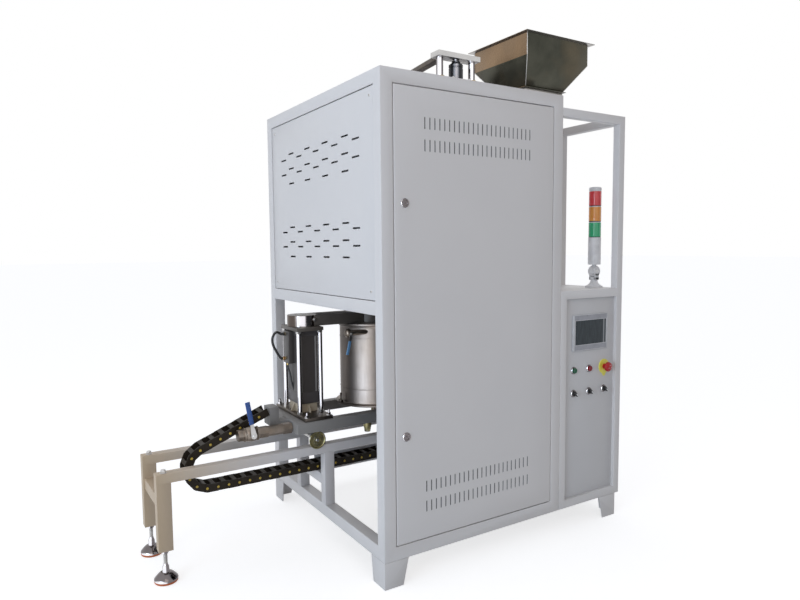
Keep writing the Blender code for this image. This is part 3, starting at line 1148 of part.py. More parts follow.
def make_stopper_lift(shop):
    """The guided cylinder on the roof, and the crosshead whose arm carries the stopper rod."""
    x, y = STOPPER_LIFT_X, STOPPER_LIFT_Y
    bottom = CABINET_TOP + GAP
    base_top = bottom + STOPPER_BASE_THICKNESS
    head_bottom = CROSSHEAD_TOP - CROSSHEAD_THICKNESS
    columns = [x - COLUMN_SPACING / 2, x + COLUMN_SPACING / 2]
    bushes = [bar((c, y, bottom), (c, y, base_top + BUSH_HEIGHT), BUSH_RADIUS) for c in columns]
    bores = [bar((c, y, bottom - OVERRUN), (c, y, base_top + BUSH_HEIGHT + OVERRUN), COLUMN_RADIUS + RUN_FIT)
             for c in columns]
    neck_top = bottom + STOPPER_NECK_HEIGHT
    shop.solid(
        "stopper_cylinder", "black_plastic", "frame",
        box((x - STOPPER_BASE_WIDTH / 2, y - STOPPER_BASE_DEPTH / 2, bottom),
            (x + STOPPER_BASE_WIDTH / 2, y + STOPPER_BASE_DEPTH / 2, base_top)),
        join=bushes + [
            bar((x, y, bottom + SHEET), (x, y, bottom + STOPPER_CYLINDER_HEIGHT), STOPPER_CYLINDER_RADIUS,
                sides=ROUND_SIDES),
            bar((x, y, bottom + STOPPER_CYLINDER_HEIGHT - SHEET), (x, y, neck_top), STOPPER_CYLINDER_RADIUS,
                STOPPER_NECK_RADIUS)],
        cut=bores + [bar((x, y, base_top + SHEET), (x, y, neck_top + OVERRUN),
                         STOPPER_PISTON_RADIUS + RUN_FIT)])
    shop.body("crosshead", "frame", (x, y, head_bottom))
    column_bottom = CABINET_TOP - COLUMN_BELOW
    rods = [bar((c, y, column_bottom), (c, y, head_bottom + SHEET), COLUMN_RADIUS) for c in columns]
    middle = CROSSHEAD_TOP - CROSSHEAD_THICKNESS / 2
    shop.solid(
        "crosshead", "dark_steel", "crosshead",
        box((x - CROSSHEAD_WIDTH / 2, y - CROSSHEAD_DEPTH / 2, head_bottom),
            (x + CROSSHEAD_WIDTH / 2, y + CROSSHEAD_DEPTH / 2, CROSSHEAD_TOP)),
        join=rods + [
            bar((x, y, base_top + SHEET + RUN_FIT), (x, y, head_bottom + SHEET), STOPPER_PISTON_RADIUS),
            beam((STOPPER_ARM_START_X, y, middle), (FURNACE_X, FURNACE_Y, middle), STOPPER_ARM_WIDTH,
                 CROSSHEAD_THICKNESS - SHEET),
            bar((FURNACE_X, FURNACE_Y, head_bottom), (FURNACE_X, FURNACE_Y, CROSSHEAD_TOP + SHEET),
                STOPPER_ARM_BOSS_RADIUS)])
    rod_bottom = HEARTH_TOP + GAP + CRUCIBLE_WALL + GAP
    shop.solid("stopper_rod", "crucible_clay", "crosshead",
               bar((FURNACE_X, FURNACE_Y, rod_bottom), (FURNACE_X, FURNACE_Y, head_bottom - GAP),
                   STOPPER_ROD_RADIUS))


# Furnace

def make_furnace(shop):
    """The furnace body: shell, lining, cover, crucible, two heaters and a thermocouple."""
    x, y, half = FURNACE_X, FURNACE_Y, FURNACE_HALF
    bottom = MID_RAIL_TOP + GAP
    low = bottom - OVERRUN
    inner = half - FURNACE_WALL
    floor = bottom + FURNACE_WALL
    shop.solid("furnace_shell", "powder_coat", "frame",
               box((x - half, y - half, bottom), (x + half, y + half, FURNACE_SHELL_TOP)),
               cut=[box((x - inner, y - inner, floor), (x + inner, y + inner, FURNACE_SHELL_TOP + OVERRUN)),
                    bar((x, y, low), (x, y, floor + OVERRUN), SHELL_HOLE_RADIUS)])
    lining = inner - GAP
    shop.solid("furnace_lining", "refractory", "frame",
               box((x - lining, y - lining, floor + GAP), (x + lining, y + lining, FURNACE_SHELL_TOP)),
               cut=[box((x - CAVITY_HALF, y - CAVITY_HALF, HEARTH_TOP),
                        (x + CAVITY_HALF, y + CAVITY_HALF, FURNACE_SHELL_TOP + OVERRUN)),
                    bar((x, y, low), (x, y, HEARTH_TOP + OVERRUN), OUTLET_HOLE_RADIUS)])
    cover_bottom, cover_low, cover_high = (
        FURNACE_SHELL_TOP + GAP, FURNACE_SHELL_TOP - OVERRUN, FURNACE_COVER_TOP + OVERRUN)
    holes = [bar((x, y, cover_low), (x, y, cover_high), STOPPER_ROD_RADIUS * 2),
             bar((*FEED_END, cover_low), (*FEED_END, cover_high), CHUTE_BORE_RADIUS)]
    probe_y = y + HEATER_FROM_CENTRE
    holes.append(bar((x, probe_y, cover_low), (x, probe_y, cover_high), THERMOCOUPLE_RADIUS + RUN_FIT))
    for side in (-1, 1):
        for leg in heater_legs(side):
            holes.append(bar((*leg, cover_low), (*leg, cover_high), HEATER_RADIUS + RUN_FIT))
    shop.solid("furnace_cover", "refractory", "frame",
               box((x - half, y - half, cover_bottom), (x + half, y + half, FURNACE_COVER_TOP)), cut=holes)
    make_crucible(shop)
    for name, side in (("heater_left", -1), ("heater_right", 1)):
        make_heater(shop, name, side)
    seat = FURNACE_COVER_TOP + GAP
    shop.solid("thermocouple", "dark_steel", "frame",
               bar((x, probe_y, THERMOCOUPLE_BOTTOM), (x, probe_y, seat + SHEET), THERMOCOUPLE_RADIUS),
               join=[bar((x, probe_y, seat), (x, probe_y, seat + THERMOCOUPLE_HEAD_HEIGHT),
                         THERMOCOUPLE_HEAD_RADIUS)])


def make_crucible(shop):
    """The crucible, with an outlet spout through the furnace's floor."""
    bottom = HEARTH_TOP + GAP
    inner = CRUCIBLE_RADIUS - CRUCIBLE_WALL
    top = bottom + CRUCIBLE_HEIGHT
    floor = bottom + CRUCIBLE_WALL
    profile = [
        (SPOUT_BORE_RADIUS, floor), (inner, floor), (inner, top), (CRUCIBLE_RADIUS, top),
        (CRUCIBLE_RADIUS, bottom), (SPOUT_RADIUS, bottom), (SPOUT_RADIUS, SPOUT_BOTTOM),
        (SPOUT_BORE_RADIUS, SPOUT_BOTTOM), (SPOUT_BORE_RADIUS, floor),
    ]
    shop.turned("crucible", "crucible_clay", "frame", (FURNACE_X, FURNACE_Y, 0), (0, 0, 1), profile)


def heater_legs(side):
    """The places of one heater's two legs."""
    x = FURNACE_X + side * HEATER_FROM_CENTRE
    return [(x, FURNACE_Y - HEATER_SPACING / 2), (x, FURNACE_Y + HEATER_SPACING / 2)]


def make_heater(shop, name, side):
    """A hairpin heating element that hangs on collars through the furnace's cover."""
    seat = FURNACE_COVER_TOP + GAP
    near, far = heater_legs(side)
    shapes = [bar((*far, HEATER_BOTTOM - HEATER_RADIUS), (*far, HEATER_TOP), HEATER_RADIUS),
              bar((near[0], near[1], HEATER_BOTTOM), (far[0], far[1], HEATER_BOTTOM), HEATER_RADIUS * 0.9)]
    for leg in (near, far):
        shapes.append(bar((*leg, seat), (*leg, seat + HEATER_COLLAR_HEIGHT), HEATER_COLLAR_RADIUS))
    shop.solid(name, "heater_rod", "frame",
               bar((*near, HEATER_BOTTOM - HEATER_RADIUS), (*near, HEATER_TOP), HEATER_RADIUS), join=shapes)


# Track

def make_track(shop):
    """The track: two rails on legs, cross tubes, the chain's tray and the end stops."""
    leg_bottom = FRAME_BOTTOM + TUBE + GAP
    rail_bottom = RAIL_TOP - RAIL_HEIGHT
    members = []
    for y in (RAIL_NEAR_Y, RAIL_FAR_Y):
        members.append(box((RAIL_LEFT, y - RAIL_WIDTH / 2, rail_bottom),
                           (RAIL_RIGHT, y + RAIL_WIDTH / 2, RAIL_TOP)))
    for y in (RAIL_NEAR_Y, RAIL_FAR_Y):
        middle = rail_bottom + RAIL_HEIGHT / 2
        members.append(box((RAIL_LEFT, y - LEG_DEPTH / 2, OUTER_LEG_BOTTOM),
                           (RAIL_LEFT + OUTER_LEG_WIDTH, y + LEG_DEPTH / 2, middle)))
        for x in (0, REST_LEG_LEFT):
            members.append(box((x, y - LEG_DEPTH / 2, leg_bottom), (x + LEG_SIZE, y + LEG_DEPTH / 2, middle)))
        stop_x = RAIL_LEFT + STOP_BOLT_FROM_END
        members.append(bar((stop_x, y, middle), (stop_x, y, RAIL_TOP + STOP_BOLT_HEIGHT), STOP_BOLT_RADIUS))
    inset = (OUTER_LEG_WIDTH - LEG_DEPTH) / 2
    for x, top in ((RAIL_LEFT + inset, OUTER_CROSS_TOP), (inset / 2, INNER_CROSS_TOP),
                   (REST_LEG_LEFT + inset / 2, INNER_CROSS_TOP)):
        members.append(box((x, RAIL_NEAR_Y, top - LEG_SIZE), (x + LEG_DEPTH - inset, RAIL_FAR_Y, top)))
    tray_top = CHAIN_LOW_Z - CHAIN_HEIGHT / 2 - GAP
    tray_left, tray_right = LEG_SIZE / 2, REST_LEG_LEFT + LEG_SIZE / 2
    tray_bottom = INNER_CROSS_TOP - SHEET
    members.append(box((tray_left, TRAY_FRONT, tray_bottom), (tray_right, TRAY_BACK, tray_top)))
    members.append(box((tray_left, TRAY_BACK - SHEET, tray_bottom), (tray_right, TRAY_BACK, TRAY_WALL_TOP)))
    stem_bores = [bar((LEG_OUTER_X, y, OUTER_LEG_BOTTOM - OVERRUN),
                      (LEG_OUTER_X, y, OUTER_LEG_BOTTOM + STEM_DEPTH_IN_LEG + GAP), STEM_RADIUS + RUN_FIT)
                  for y in (RAIL_NEAR_Y, RAIL_FAR_Y)]
    shop.solid("track_frame", "track_coat", "frame", members[0], join=members[1:], cut=stem_bores)


def make_levelling_foot(shop, name, y):
    """A levelling foot: pad, domed disc, neck and stem."""
    shop.body(name, "frame", (LEG_OUTER_X, y, 0))
    stem_top = OUTER_LEG_BOTTOM + STEM_DEPTH_IN_LEG
    profile = [
        (0, stem_top), (STEM_RADIUS, stem_top), (STEM_RADIUS, DISC_NECK_TOP),
        (DISC_NECK_RADIUS, DISC_DOME_TOP), (DISC_RADIUS, PAD_THICKNESS + DISC_EDGE), (DISC_RADIUS, 0), (0, 0),
    ]
    shop.turned(name, "chrome", name, (LEG_OUTER_X, y, 0), (0, 0, 1), profile)


# Cart

def make_cart_frame(shop):
    """The cart's frame, with its axle lugs, the chain's bracket and a guide knob."""
    shop.body("cart", "frame", (0, TRACK_MID, RAIL_TOP))
    bottom = CART_TOP - CART_MEMBER
    back = 2 * TRACK_MID - CART_FRONT
    near_inner, far_inner = CART_FRONT + CART_MEMBER, back - CART_MEMBER
    middle = CART_MEMBER / 2
    members = [box((CART_LEFT, CART_FRONT, bottom), (CART_RIGHT, near_inner, CART_TOP)),
               box((CART_LEFT, far_inner, bottom), (CART_RIGHT, back, CART_TOP))]
    for x in (CART_LEFT, CART_RIGHT - CART_MEMBER):
        members.append(box((x, near_inner - middle, bottom), (x + CART_MEMBER, far_inner + middle, CART_TOP)))
    tread_inner = WHEEL_FACE_Y + FLANGE_THICKNESS + TREAD_WIDTH
    lug_near = tread_inner + LUG_FROM_TREAD
    bores = [bar((CART_LEFT - OVERRUN, PIPE_Y, PIPE_Z), (CART_LEFT + CART_MEMBER + OVERRUN, PIPE_Y, PIPE_Z),
                 PIPE_RADIUS + RUN_FIT)]
    for x in WHEEL_PLACES.values():
        for y in (lug_near, 2 * TRACK_MID - lug_near - LUG_THICKNESS):
            members.append(box((x - LUG_HALF_WIDTH, y, LUG_BOTTOM),
                               (x + LUG_HALF_WIDTH, y + LUG_THICKNESS, CART_TOP - GAP * 2)))
        bores.append(bar((x, lug_near - SHEET, AXLE_Z), (x, 2 * TRACK_MID - lug_near + SHEET, AXLE_Z),
                         AXLE_RADIUS + RUN_FIT))
        members.append(box((x - LUG_HALF_WIDTH, near_inner - middle, bottom + middle),
                           (x + LUG_HALF_WIDTH, lug_near + LUG_THICKNESS, CART_TOP - GAP)))
        members.append(box((x - LUG_HALF_WIDTH, 2 * TRACK_MID - lug_near - LUG_THICKNESS, bottom + middle),
                           (x + LUG_HALF_WIDTH, far_inner + middle, CART_TOP - GAP)))
    bracket_right = CART_LEFT + middle
    members.append(box((CART_LEFT - BRACKET_LENGTH, CHAIN_FRONT, BRACKET_BOTTOM),
                       (bracket_right, CHAIN_FRONT + CHAIN_WIDTH, CART_TOP - SHEET)))
    members.append(box((CART_LEFT - BRACKET_LENGTH, CHAIN_FRONT, BRACKET_BOTTOM),
                       (CART_LEFT - BRACKET_LENGTH / 2, CHAIN_FRONT + CHAIN_WIDTH, BRACKET_TOP)))
    knob_y = CART_FRONT + middle
    members.append(bar((KNOB_X, knob_y, KNOB_BOTTOM), (KNOB_X, knob_y, bottom + SHEET), KNOB_BOTTOM_RADIUS,
                       KNOB_TOP_RADIUS))
    shop.solid("cart_frame", "grey_coat", "cart", members[0], join=members[1:], cut=bores)


def make_wheelset(shop, name, x):
    """Two flanged wheels on one axle."""
    shop.body(name, "cart", (x, TRACK_MID, AXLE_Z))
    end = TRACK_MID - WHEEL_FACE_Y
    flange_inner = end - FLANGE_THICKNESS
    tread_inner = flange_inner - TREAD_WIDTH
    upper = [(0, end), (FLANGE_RADIUS, end), (FLANGE_RADIUS, flange_inner), (TREAD_RADIUS, flange_inner),
             (TREAD_RADIUS, tread_inner), (AXLE_RADIUS, tread_inner)]
    profile = upper + [(radius, -height) for radius, height in reversed(upper)]
    shop.turned(name, "zinc", name, (x, TRACK_MID, AXLE_Z), (0, -1, 0), profile)


def make_lift(shop):
    """The lift column: a frame of plates and tie rods, the barrel, and the arm on its rod."""
    x, y = LIFT_X, TRACK_MID
    base_bottom = CART_TOP + GAP
    base_top = base_bottom + LIFT_BASE_THICKNESS
    depth_half = TRACK_MID - CART_FRONT - CART_MEMBER / 4
    plate_bottom = LIFT_TOP - LIFT_TOP_THICKNESS
    shapes = [box((x - PEDESTAL_HALF_WIDTH, y - PEDESTAL_HALF_DEPTH, base_top - SHEET),
                  (x + PEDESTAL_HALF_WIDTH, y + PEDESTAL_HALF_DEPTH, PEDESTAL_TOP)),
              box((x - LIFT_TOP_HALF_WIDTH, y - LIFT_TOP_HALF_DEPTH, plate_bottom),
                  (x + LIFT_TOP_HALF_WIDTH, y + LIFT_TOP_HALF_DEPTH, LIFT_TOP))]
    for side_x in (-1, 1):
        for side_y in (-1, 1):
            place = (x + side_x * TIE_ROD_SIDEWAYS, y + side_y * TIE_ROD_FORWARD)
            shapes.append(bar((*place, base_top - SHEET), (*place, plate_bottom + SHEET), TIE_ROD_RADIUS))
    gusset_top = PEDESTAL_TOP - SHEET
    for side in (-1, 1):
        near, far = y - side * GUSSET_THICKNESS / 2, y + side * GUSSET_THICKNESS / 2
        inner = x + side * (PEDESTAL_HALF_WIDTH - SHEET)
        outer = x + side * (PEDESTAL_HALF_WIDTH + GUSSET_REACH)
        shapes.append(loft([[(inner, place, base_top - SHEET), (outer, place, base_top - SHEET),
                             (inner, place, gusset_top)] for place in (near, far)]))
    for side in (-1, 1):
        near, far = x - GUSSET_THICKNESS / 2, x + GUSSET_THICKNESS / 2
        inner = y + side * (PEDESTAL_HALF_DEPTH - SHEET)
        outer = y + side * (PEDESTAL_HALF_DEPTH + GUSSET_REACH)
        shapes.append(loft([[(place, inner, base_top - SHEET), (place, outer, base_top - SHEET),
                             (place, inner, gusset_top)] for place in (near, far)]))
    shop.solid("lift_frame", "dark_steel", "cart",
               box((x - LIFT_BASE_HALF_WIDTH, y - depth_half, base_bottom),
                   (x + LIFT_BASE_HALF_WIDTH, y + depth_half, base_top)),
               join=shapes,
               cut=[bar((x, y, plate_bottom - OVERRUN), (x, y, LIFT_TOP + OVERRUN), PISTON_RADIUS + RUN_FIT)])
    block_left = x - BARREL_HALF_WIDTH - AIR_BLOCK_REACH
    block_front = y + AIR_BLOCK_BACKWARD - AIR_BLOCK_WIDTH / 2
    block_top = plate_bottom - 2 * SHEET
    fittings = [bar((HOSE_FITTING_LEFT, y + HOSE_BACKWARD, z), (block_left + SHEET, y + HOSE_BACKWARD, z),
                    HOSE_FITTING_RADIUS) for z in (HOSE_TOP_Z, HOSE_BOTTOM_Z)]
    shop.solid("lift_barrel", "black_plastic", "cart",
               box((x - BARREL_HALF_WIDTH, y - BARREL_HALF_DEPTH, PEDESTAL_TOP + GAP),
                   (x + BARREL_HALF_WIDTH, y + BARREL_HALF_DEPTH, plate_bottom - GAP)),
               join=[box((block_left, block_front, block_top - AIR_BLOCK_HEIGHT),
                         (x - BARREL_HALF_WIDTH + SHEET, block_front + AIR_BLOCK_WIDTH, block_top)),
                     *fittings],
               cut=[bar((x, y, PISTON_BORE_BOTTOM), (x, y, LIFT_TOP), PISTON_RADIUS + RUN_FIT)])
    make_lift_arm(shop)


def make_lift_arm(shop):
    """The lift's arm, which carries the bucket's cover, and the cover itself."""
    x, y = LIFT_X, TRACK_MID
    shop.body("lift", "cart", (x, y, ARM_BOTTOM))
    shop.solid(
        "lift_arm", "stainless", "lift",
        bar((x, y, ARM_BOTTOM), (x, y, ARM_TOP), ARM_BOSS_RADIUS, sides=ROUND_SIDES),
        join=[box((x, y - ARM_HALF_WIDTH, ARM_BOTTOM), (BUCKET_X, y + ARM_HALF_WIDTH, ARM_TOP)),
              bar((BUCKET_X, y, ARM_BOTTOM), (BUCKET_X, y, ARM_TOP), ARM_RING_RADIUS, sides=ROUND_SIDES),
              bar((x, y, PISTON_BOTTOM), (x, y, ARM_BOTTOM + SHEET), PISTON_RADIUS)],
        cut=[bar((BUCKET_X, y, ARM_BOTTOM - OVERRUN), (BUCKET_X, y, ARM_TOP + OVERRUN), ARM_RING_BORE,
                 sides=ROUND_SIDES)])
    cover_top = ARM_BOTTOM - GAP
    shop.solid("bucket_cover", "stainless", "lift",
               bar((BUCKET_X, y, cover_top - COVER_THICKNESS), (BUCKET_X, y, cover_top), COVER_RADIUS,
                   sides=ROUND_SIDES),
               cut=[bar((BUCKET_X, y, cover_top - COVER_THICKNESS - OVERRUN),
                        (BUCKET_X, y, cover_top + OVERRUN), COVER_INLET_RADIUS, sides=ROUND_SIDES)])


def make_bucket(shop):
    """The quench bucket on its flange and bolts, with the latch's ears, and the latch."""
    x, y = BUCKET_X, TRACK_MID
    flange_top = BUCKET_BOTTOM + BUCKET_FLANGE_THICKNESS
    pivot_x = x - LATCH_FROM_CENTRE
    pivot_z = flange_top + LATCH_PIVOT_RADIUS + GAP
    shapes = [bar((x, y, BUCKET_BOTTOM), (x, y, flange_top), BUCKET_FLANGE_RADIUS, sides=ROUND_SIDES)]
    for side_x in (-1, 1):
        for side_y in (-1, 1):
            bolt = (x + side_x * BUCKET_BOLT_X, y + side_y * BUCKET_BOLT_Y)
            shapes.append(bar((*bolt, CART_TOP + GAP), (*bolt, flange_top + BUCKET_BOLT_RADIUS),
                              BUCKET_BOLT_RADIUS))
    ear_inner = LATCH_HALF_WIDTH + RUN_FIT
    for side in (-1, 1):
        edges = sorted((y + side * ear_inner, y + side * (ear_inner + LATCH_EAR)))
        shapes.append(box((pivot_x - LATCH_PIVOT_RADIUS, edges[0], flange_top - SHEET),
                          (pivot_x + LATCH_PIVOT_RADIUS, edges[1], pivot_z + LATCH_PIVOT_RADIUS)))
    inner = BUCKET_RADIUS - BUCKET_WALL
    floor = BUCKET_BOTTOM + BUCKET_FLOOR
    shop.solid("quench_bucket", "stainless", "cart",
               bar((x, y, BUCKET_BOTTOM), (x, y, BUCKET_TOP), BUCKET_RADIUS, sides=ROUND_SIDES),
               join=shapes,
               cut=[bar((x, y, floor), (x, y, BUCKET_TOP + OVERRUN), inner, sides=ROUND_SIDES),
                    bar((PIPE_RISER_X, PIPE_Y, BUCKET_BOTTOM - OVERRUN),
                        (PIPE_RISER_X, PIPE_Y, floor + OVERRUN), PIPE_BORE_RADIUS),
                    bar((x - BUCKET_RADIUS, OVERFLOW_Y, OVERFLOW_Z), (x, OVERFLOW_Y, OVERFLOW_Z),
                        OVERFLOW_RADIUS / 2)])
    shop.body("latch", "cart", (pivot_x, y, pivot_z))
    shop.solid("bucket_latch", "dark_steel", "latch",
               bar((pivot_x, y - LATCH_HALF_WIDTH, pivot_z), (pivot_x, y + LATCH_HALF_WIDTH, pivot_z),
                   LATCH_PIVOT_RADIUS),
               join=[bar((pivot_x, y, pivot_z), (pivot_x, y, pivot_z + LATCH_LENGTH), LATCH_LEVER_RADIUS)])


def make_drain(shop):
    """The drain pipe with its ball valve, and the valve's lever."""
    y, z = PIPE_Y, PIPE_Z
    ball_left, ball_right = VALVE_BALL_X - VALVE_BALL_LENGTH / 2, VALVE_BALL_X + VALVE_BALL_LENGTH / 2
    stem_y = y - VALVE_BALL_RADIUS
    riser = (PIPE_RISER_X, y)
    shop.solid(
        "drain_pipe", "stainless", "cart",
        bar((PIPE_COUPLING_LEFT + SHEET, y, z), (PIPE_RISER_X + PIPE_RADIUS, y, z), PIPE_RADIUS),
        join=[bar((PIPE_COUPLING_LEFT, y, z), (CART_LEFT - GAP, y, z), PIPE_COUPLING_RADIUS),
              bar((VALVE_LEFT, y, z), (PIPE_COUPLING_LEFT + 2 * SHEET, y, z), VALVE_NECK_RADIUS),
              bar((ball_left, y, z), (ball_right, y, z), VALVE_BALL_RADIUS),
              bar((VALVE_BALL_X, y, z), (VALVE_BALL_X, stem_y - VALVE_STEM_LENGTH, z), VALVE_STEM_RADIUS),
              bar((*riser, z - SHEET), (*riser, BUCKET_BOTTOM - GAP), PIPE_RADIUS)],
        cut=[bar((VALVE_LEFT - OVERRUN, y, z), (PIPE_RISER_X + SHEET, y, z), PIPE_BORE_RADIUS),
             bar((*riser, z - SHEET), (*riser, BUCKET_BOTTOM + OVERRUN), PIPE_BORE_RADIUS)])
    handle_y = stem_y - VALVE_STEM_LENGTH - GAP - HANDLE_THICKNESS / 2
    shop.body("drain_handle", "cart", (VALVE_BALL_X, handle_y, z))
    pivot = Vector((VALVE_BALL_X, handle_y, z))
    along = Vector((-math.sin(HANDLE_LEAN), 0, math.cos(HANDLE_LEAN)))
    shop.solid("drain_handle", "blue_plastic", "drain_handle",
               beam(pivot - along * HANDLE_WIDTH / 2, pivot + along * HANDLE_LENGTH, HANDLE_WIDTH,
                    HANDLE_THICKNESS, up=(0, 1, 0)))


def make_overflow(shop):
    """The overflow valve on the bucket's side, and its lever."""
    y, z = OVERFLOW_Y, OVERFLOW_Z
    ball_left = OVERFLOW_BALL_X - OVERFLOW_BALL_LENGTH / 2
    ball_right = OVERFLOW_BALL_X + OVERFLOW_BALL_LENGTH / 2
    stem_end = y - OVERFLOW_BALL_RADIUS - VALVE_STEM_LENGTH
    bore = OVERFLOW_RADIUS / 2
    shop.solid(
        "overflow_valve", "stainless", "cart",
        bar((OVERFLOW_LEFT, y, z), (BUCKET_X, y, z), OVERFLOW_RADIUS),
        join=[bar((ball_left, y, z), (ball_right, y, z), OVERFLOW_BALL_RADIUS),
              bar((OVERFLOW_BALL_X, y, z), (OVERFLOW_BALL_X, stem_end, z), OVERFLOW_STEM_RADIUS)],
        cut=[bar((BUCKET_X, TRACK_MID, BUCKET_BOTTOM), (BUCKET_X, TRACK_MID, BUCKET_TOP + OVERRUN),
                 BUCKET_RADIUS + GAP, sides=ROUND_SIDES),
             bar((OVERFLOW_LEFT - OVERRUN, y, z), (BUCKET_X, y, z), bore)])
    handle_y = stem_end - GAP - HANDLE_THICKNESS / 2
    shop.body("overflow_handle", "cart", (OVERFLOW_BALL_X, handle_y, z))
    pivot = Vector((OVERFLOW_BALL_X, handle_y, z))
    along = Vector((-math.sin(OVERFLOW_HANDLE_LEAN), 0, -math.cos(OVERFLOW_HANDLE_LEAN)))
    shop.solid("overflow_handle", "blue_plastic", "overflow_handle",
               beam(pivot - along * OVERFLOW_HANDLE_WIDTH / 2, pivot + along * OVERFLOW_HANDLE_LENGTH,
                    OVERFLOW_HANDLE_WIDTH, HANDLE_THICKNESS, up=(0, 1, 0)))


def chain_path():
    """The cable chain's centre line along X and Z: level, round the bend, and up to its bracket."""
    centre_z = CHAIN_LOW_Z + CHAIN_BEND_RADIUS
    points = [(CHAIN_RIGHT, CHAIN_LOW_Z)]
    last = math.pi / 2 + CHAIN_RISE
    for i in range(CHAIN_BEND_STEPS + 1):
        angle = 1.5 * math.pi + (last - 1.5 * math.pi) * i / CHAIN_BEND_STEPS
        points.append((CHAIN_BEND_X + CHAIN_BEND_RADIUS * math.cos(angle),
                       centre_z + CHAIN_BEND_RADIUS * math.sin(angle)))
    end_x = CART_LEFT - BRACKET_LENGTH - GAP - CHAIN_HEIGHT / 2 * math.sin(CHAIN_RISE)
    run = end_x - points[-1][0]
    points.append((end_x, points[-1][1] + run * math.tan(CHAIN_RISE)))
    return points


def make_chain(shop):
    """The cable chain, as one band whose outline is the path moved to both sides."""
    path = [Vector((x, z)) for x, z in chain_path()]
    left, right = [], []
    for i, point in enumerate(path):
        before, after = path[max(i - 1, 0)], path[min(i + 1, len(path) - 1)]
        along = (after - before).normalized()
        across = Vector((-along.y, along.x)) * CHAIN_HEIGHT / 2
        left.append(point + across)
        right.append(point - across)
    outline = left + right[::-1]
    curve = bpy.data.curves.new("cable_chain", "CURVE")
    curve.dimensions = "2D"
    curve.fill_mode = "BOTH"
    curve.extrude = CHAIN_WIDTH / 2
    spline = curve.splines.new("POLY")
    spline.points.add(len(outline) - 1)
    for place, point in zip(spline.points, outline):
        place.co = (point.x, point.y, 0, 1)
    spline.use_cyclic_u = True
    curve.materials.append(shop.looks["black_plastic"])
    piece = bpy.data.objects.new("cable_chain", curve)
    holder, _ = shop.frames["frame"]
    piece.parent = holder
    piece.location = (0, CHAIN_FRONT + CHAIN_WIDTH / 2, 0)
    piece.rotation_euler = (math.pi / 2, 0, 0)
    shop.parts.objects.link(piece)


def make_air_hose(shop):
    """The short air hose that loops from the lift's top fitting to its lower one."""
    start = HOSE_FITTING_LEFT - GAP
    loop = [(LIFT_X + x, LIFT_TOP + z) for x, z in HOSE_PLACES]
    places = [(start, HOSE_TOP_Z), *loop, (start, HOSE_BOTTOM_Z)]
    curve = bpy.data.curves.new("air_hose", "CURVE")
    curve.dimensions = "3D"
    curve.bevel_depth = HOSE_RADIUS
    curve.bevel_resolution = 2
    curve.use_fill_caps = True
    spline = curve.splines.new("POLY")
    spline.points.add(len(places) - 1)
    holder, origin = shop.frames["cart"]
    for place, (x, z) in zip(spline.points, places):
        place.co = (*(Vector((x, TRACK_MID + HOSE_BACKWARD, z)) - origin), 1)
    curve.materials.append(shop.looks["black_plastic"])
    piece = bpy.data.objects.new("air_hose", curve)
    piece.parent = holder
    shop.parts.objects.link(piece)


def make_all():
    """Make the whole furnace."""
    clear_scene()
    shop = Workshop()
    make_main_frame(shop)
    make_panels(shop)
    make_door(shop)
    for name, height in LOCK_HEIGHTS.items():
        make_lock(shop, name, height)
    make_feet(shop)
    make_tower_frame(shop)
    make_console_box(shop)
    make_control_panel(shop)
    make_touch_panel(shop)
    make_push_button(shop, "start_button", "green_plastic", CONTROL_COLUMNS["left"])
    make_push_button(shop, "stop_button", "red_plastic", CONTROL_COLUMNS["middle"])
    make_emergency_stop(shop)
    for column, x in CONTROL_COLUMNS.items():
        make_selector(shop, "selector_" + column, x)
    make_signal_light(shop)
    make_hopper(shop)
    make_feeder(shop)
    make_stopper_lift(shop)
    make_furnace(shop)
    make_track(shop)
    make_levelling_foot(shop, "levelling_foot_near", RAIL_NEAR_Y)
    make_levelling_foot(shop, "levelling_foot_far", RAIL_FAR_Y)
    make_cart_frame(shop)
    for name, x in WHEEL_PLACES.items():
        make_wheelset(shop, name, x)
    make_lift(shop)
    make_bucket(shop)
    make_drain(shop)
    make_overflow(shop)
    make_chain(shop)
    make_air_hose(shop)


make_all()
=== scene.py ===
"""Looks of the frit melting furnace: finer pieces, finishes, lights and the camera.

Lengths are metres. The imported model's origin is below the middle of the object, on the floor.
"""
import json
import math

import bmesh
import bpy
from mathutils import Matrix, Vector

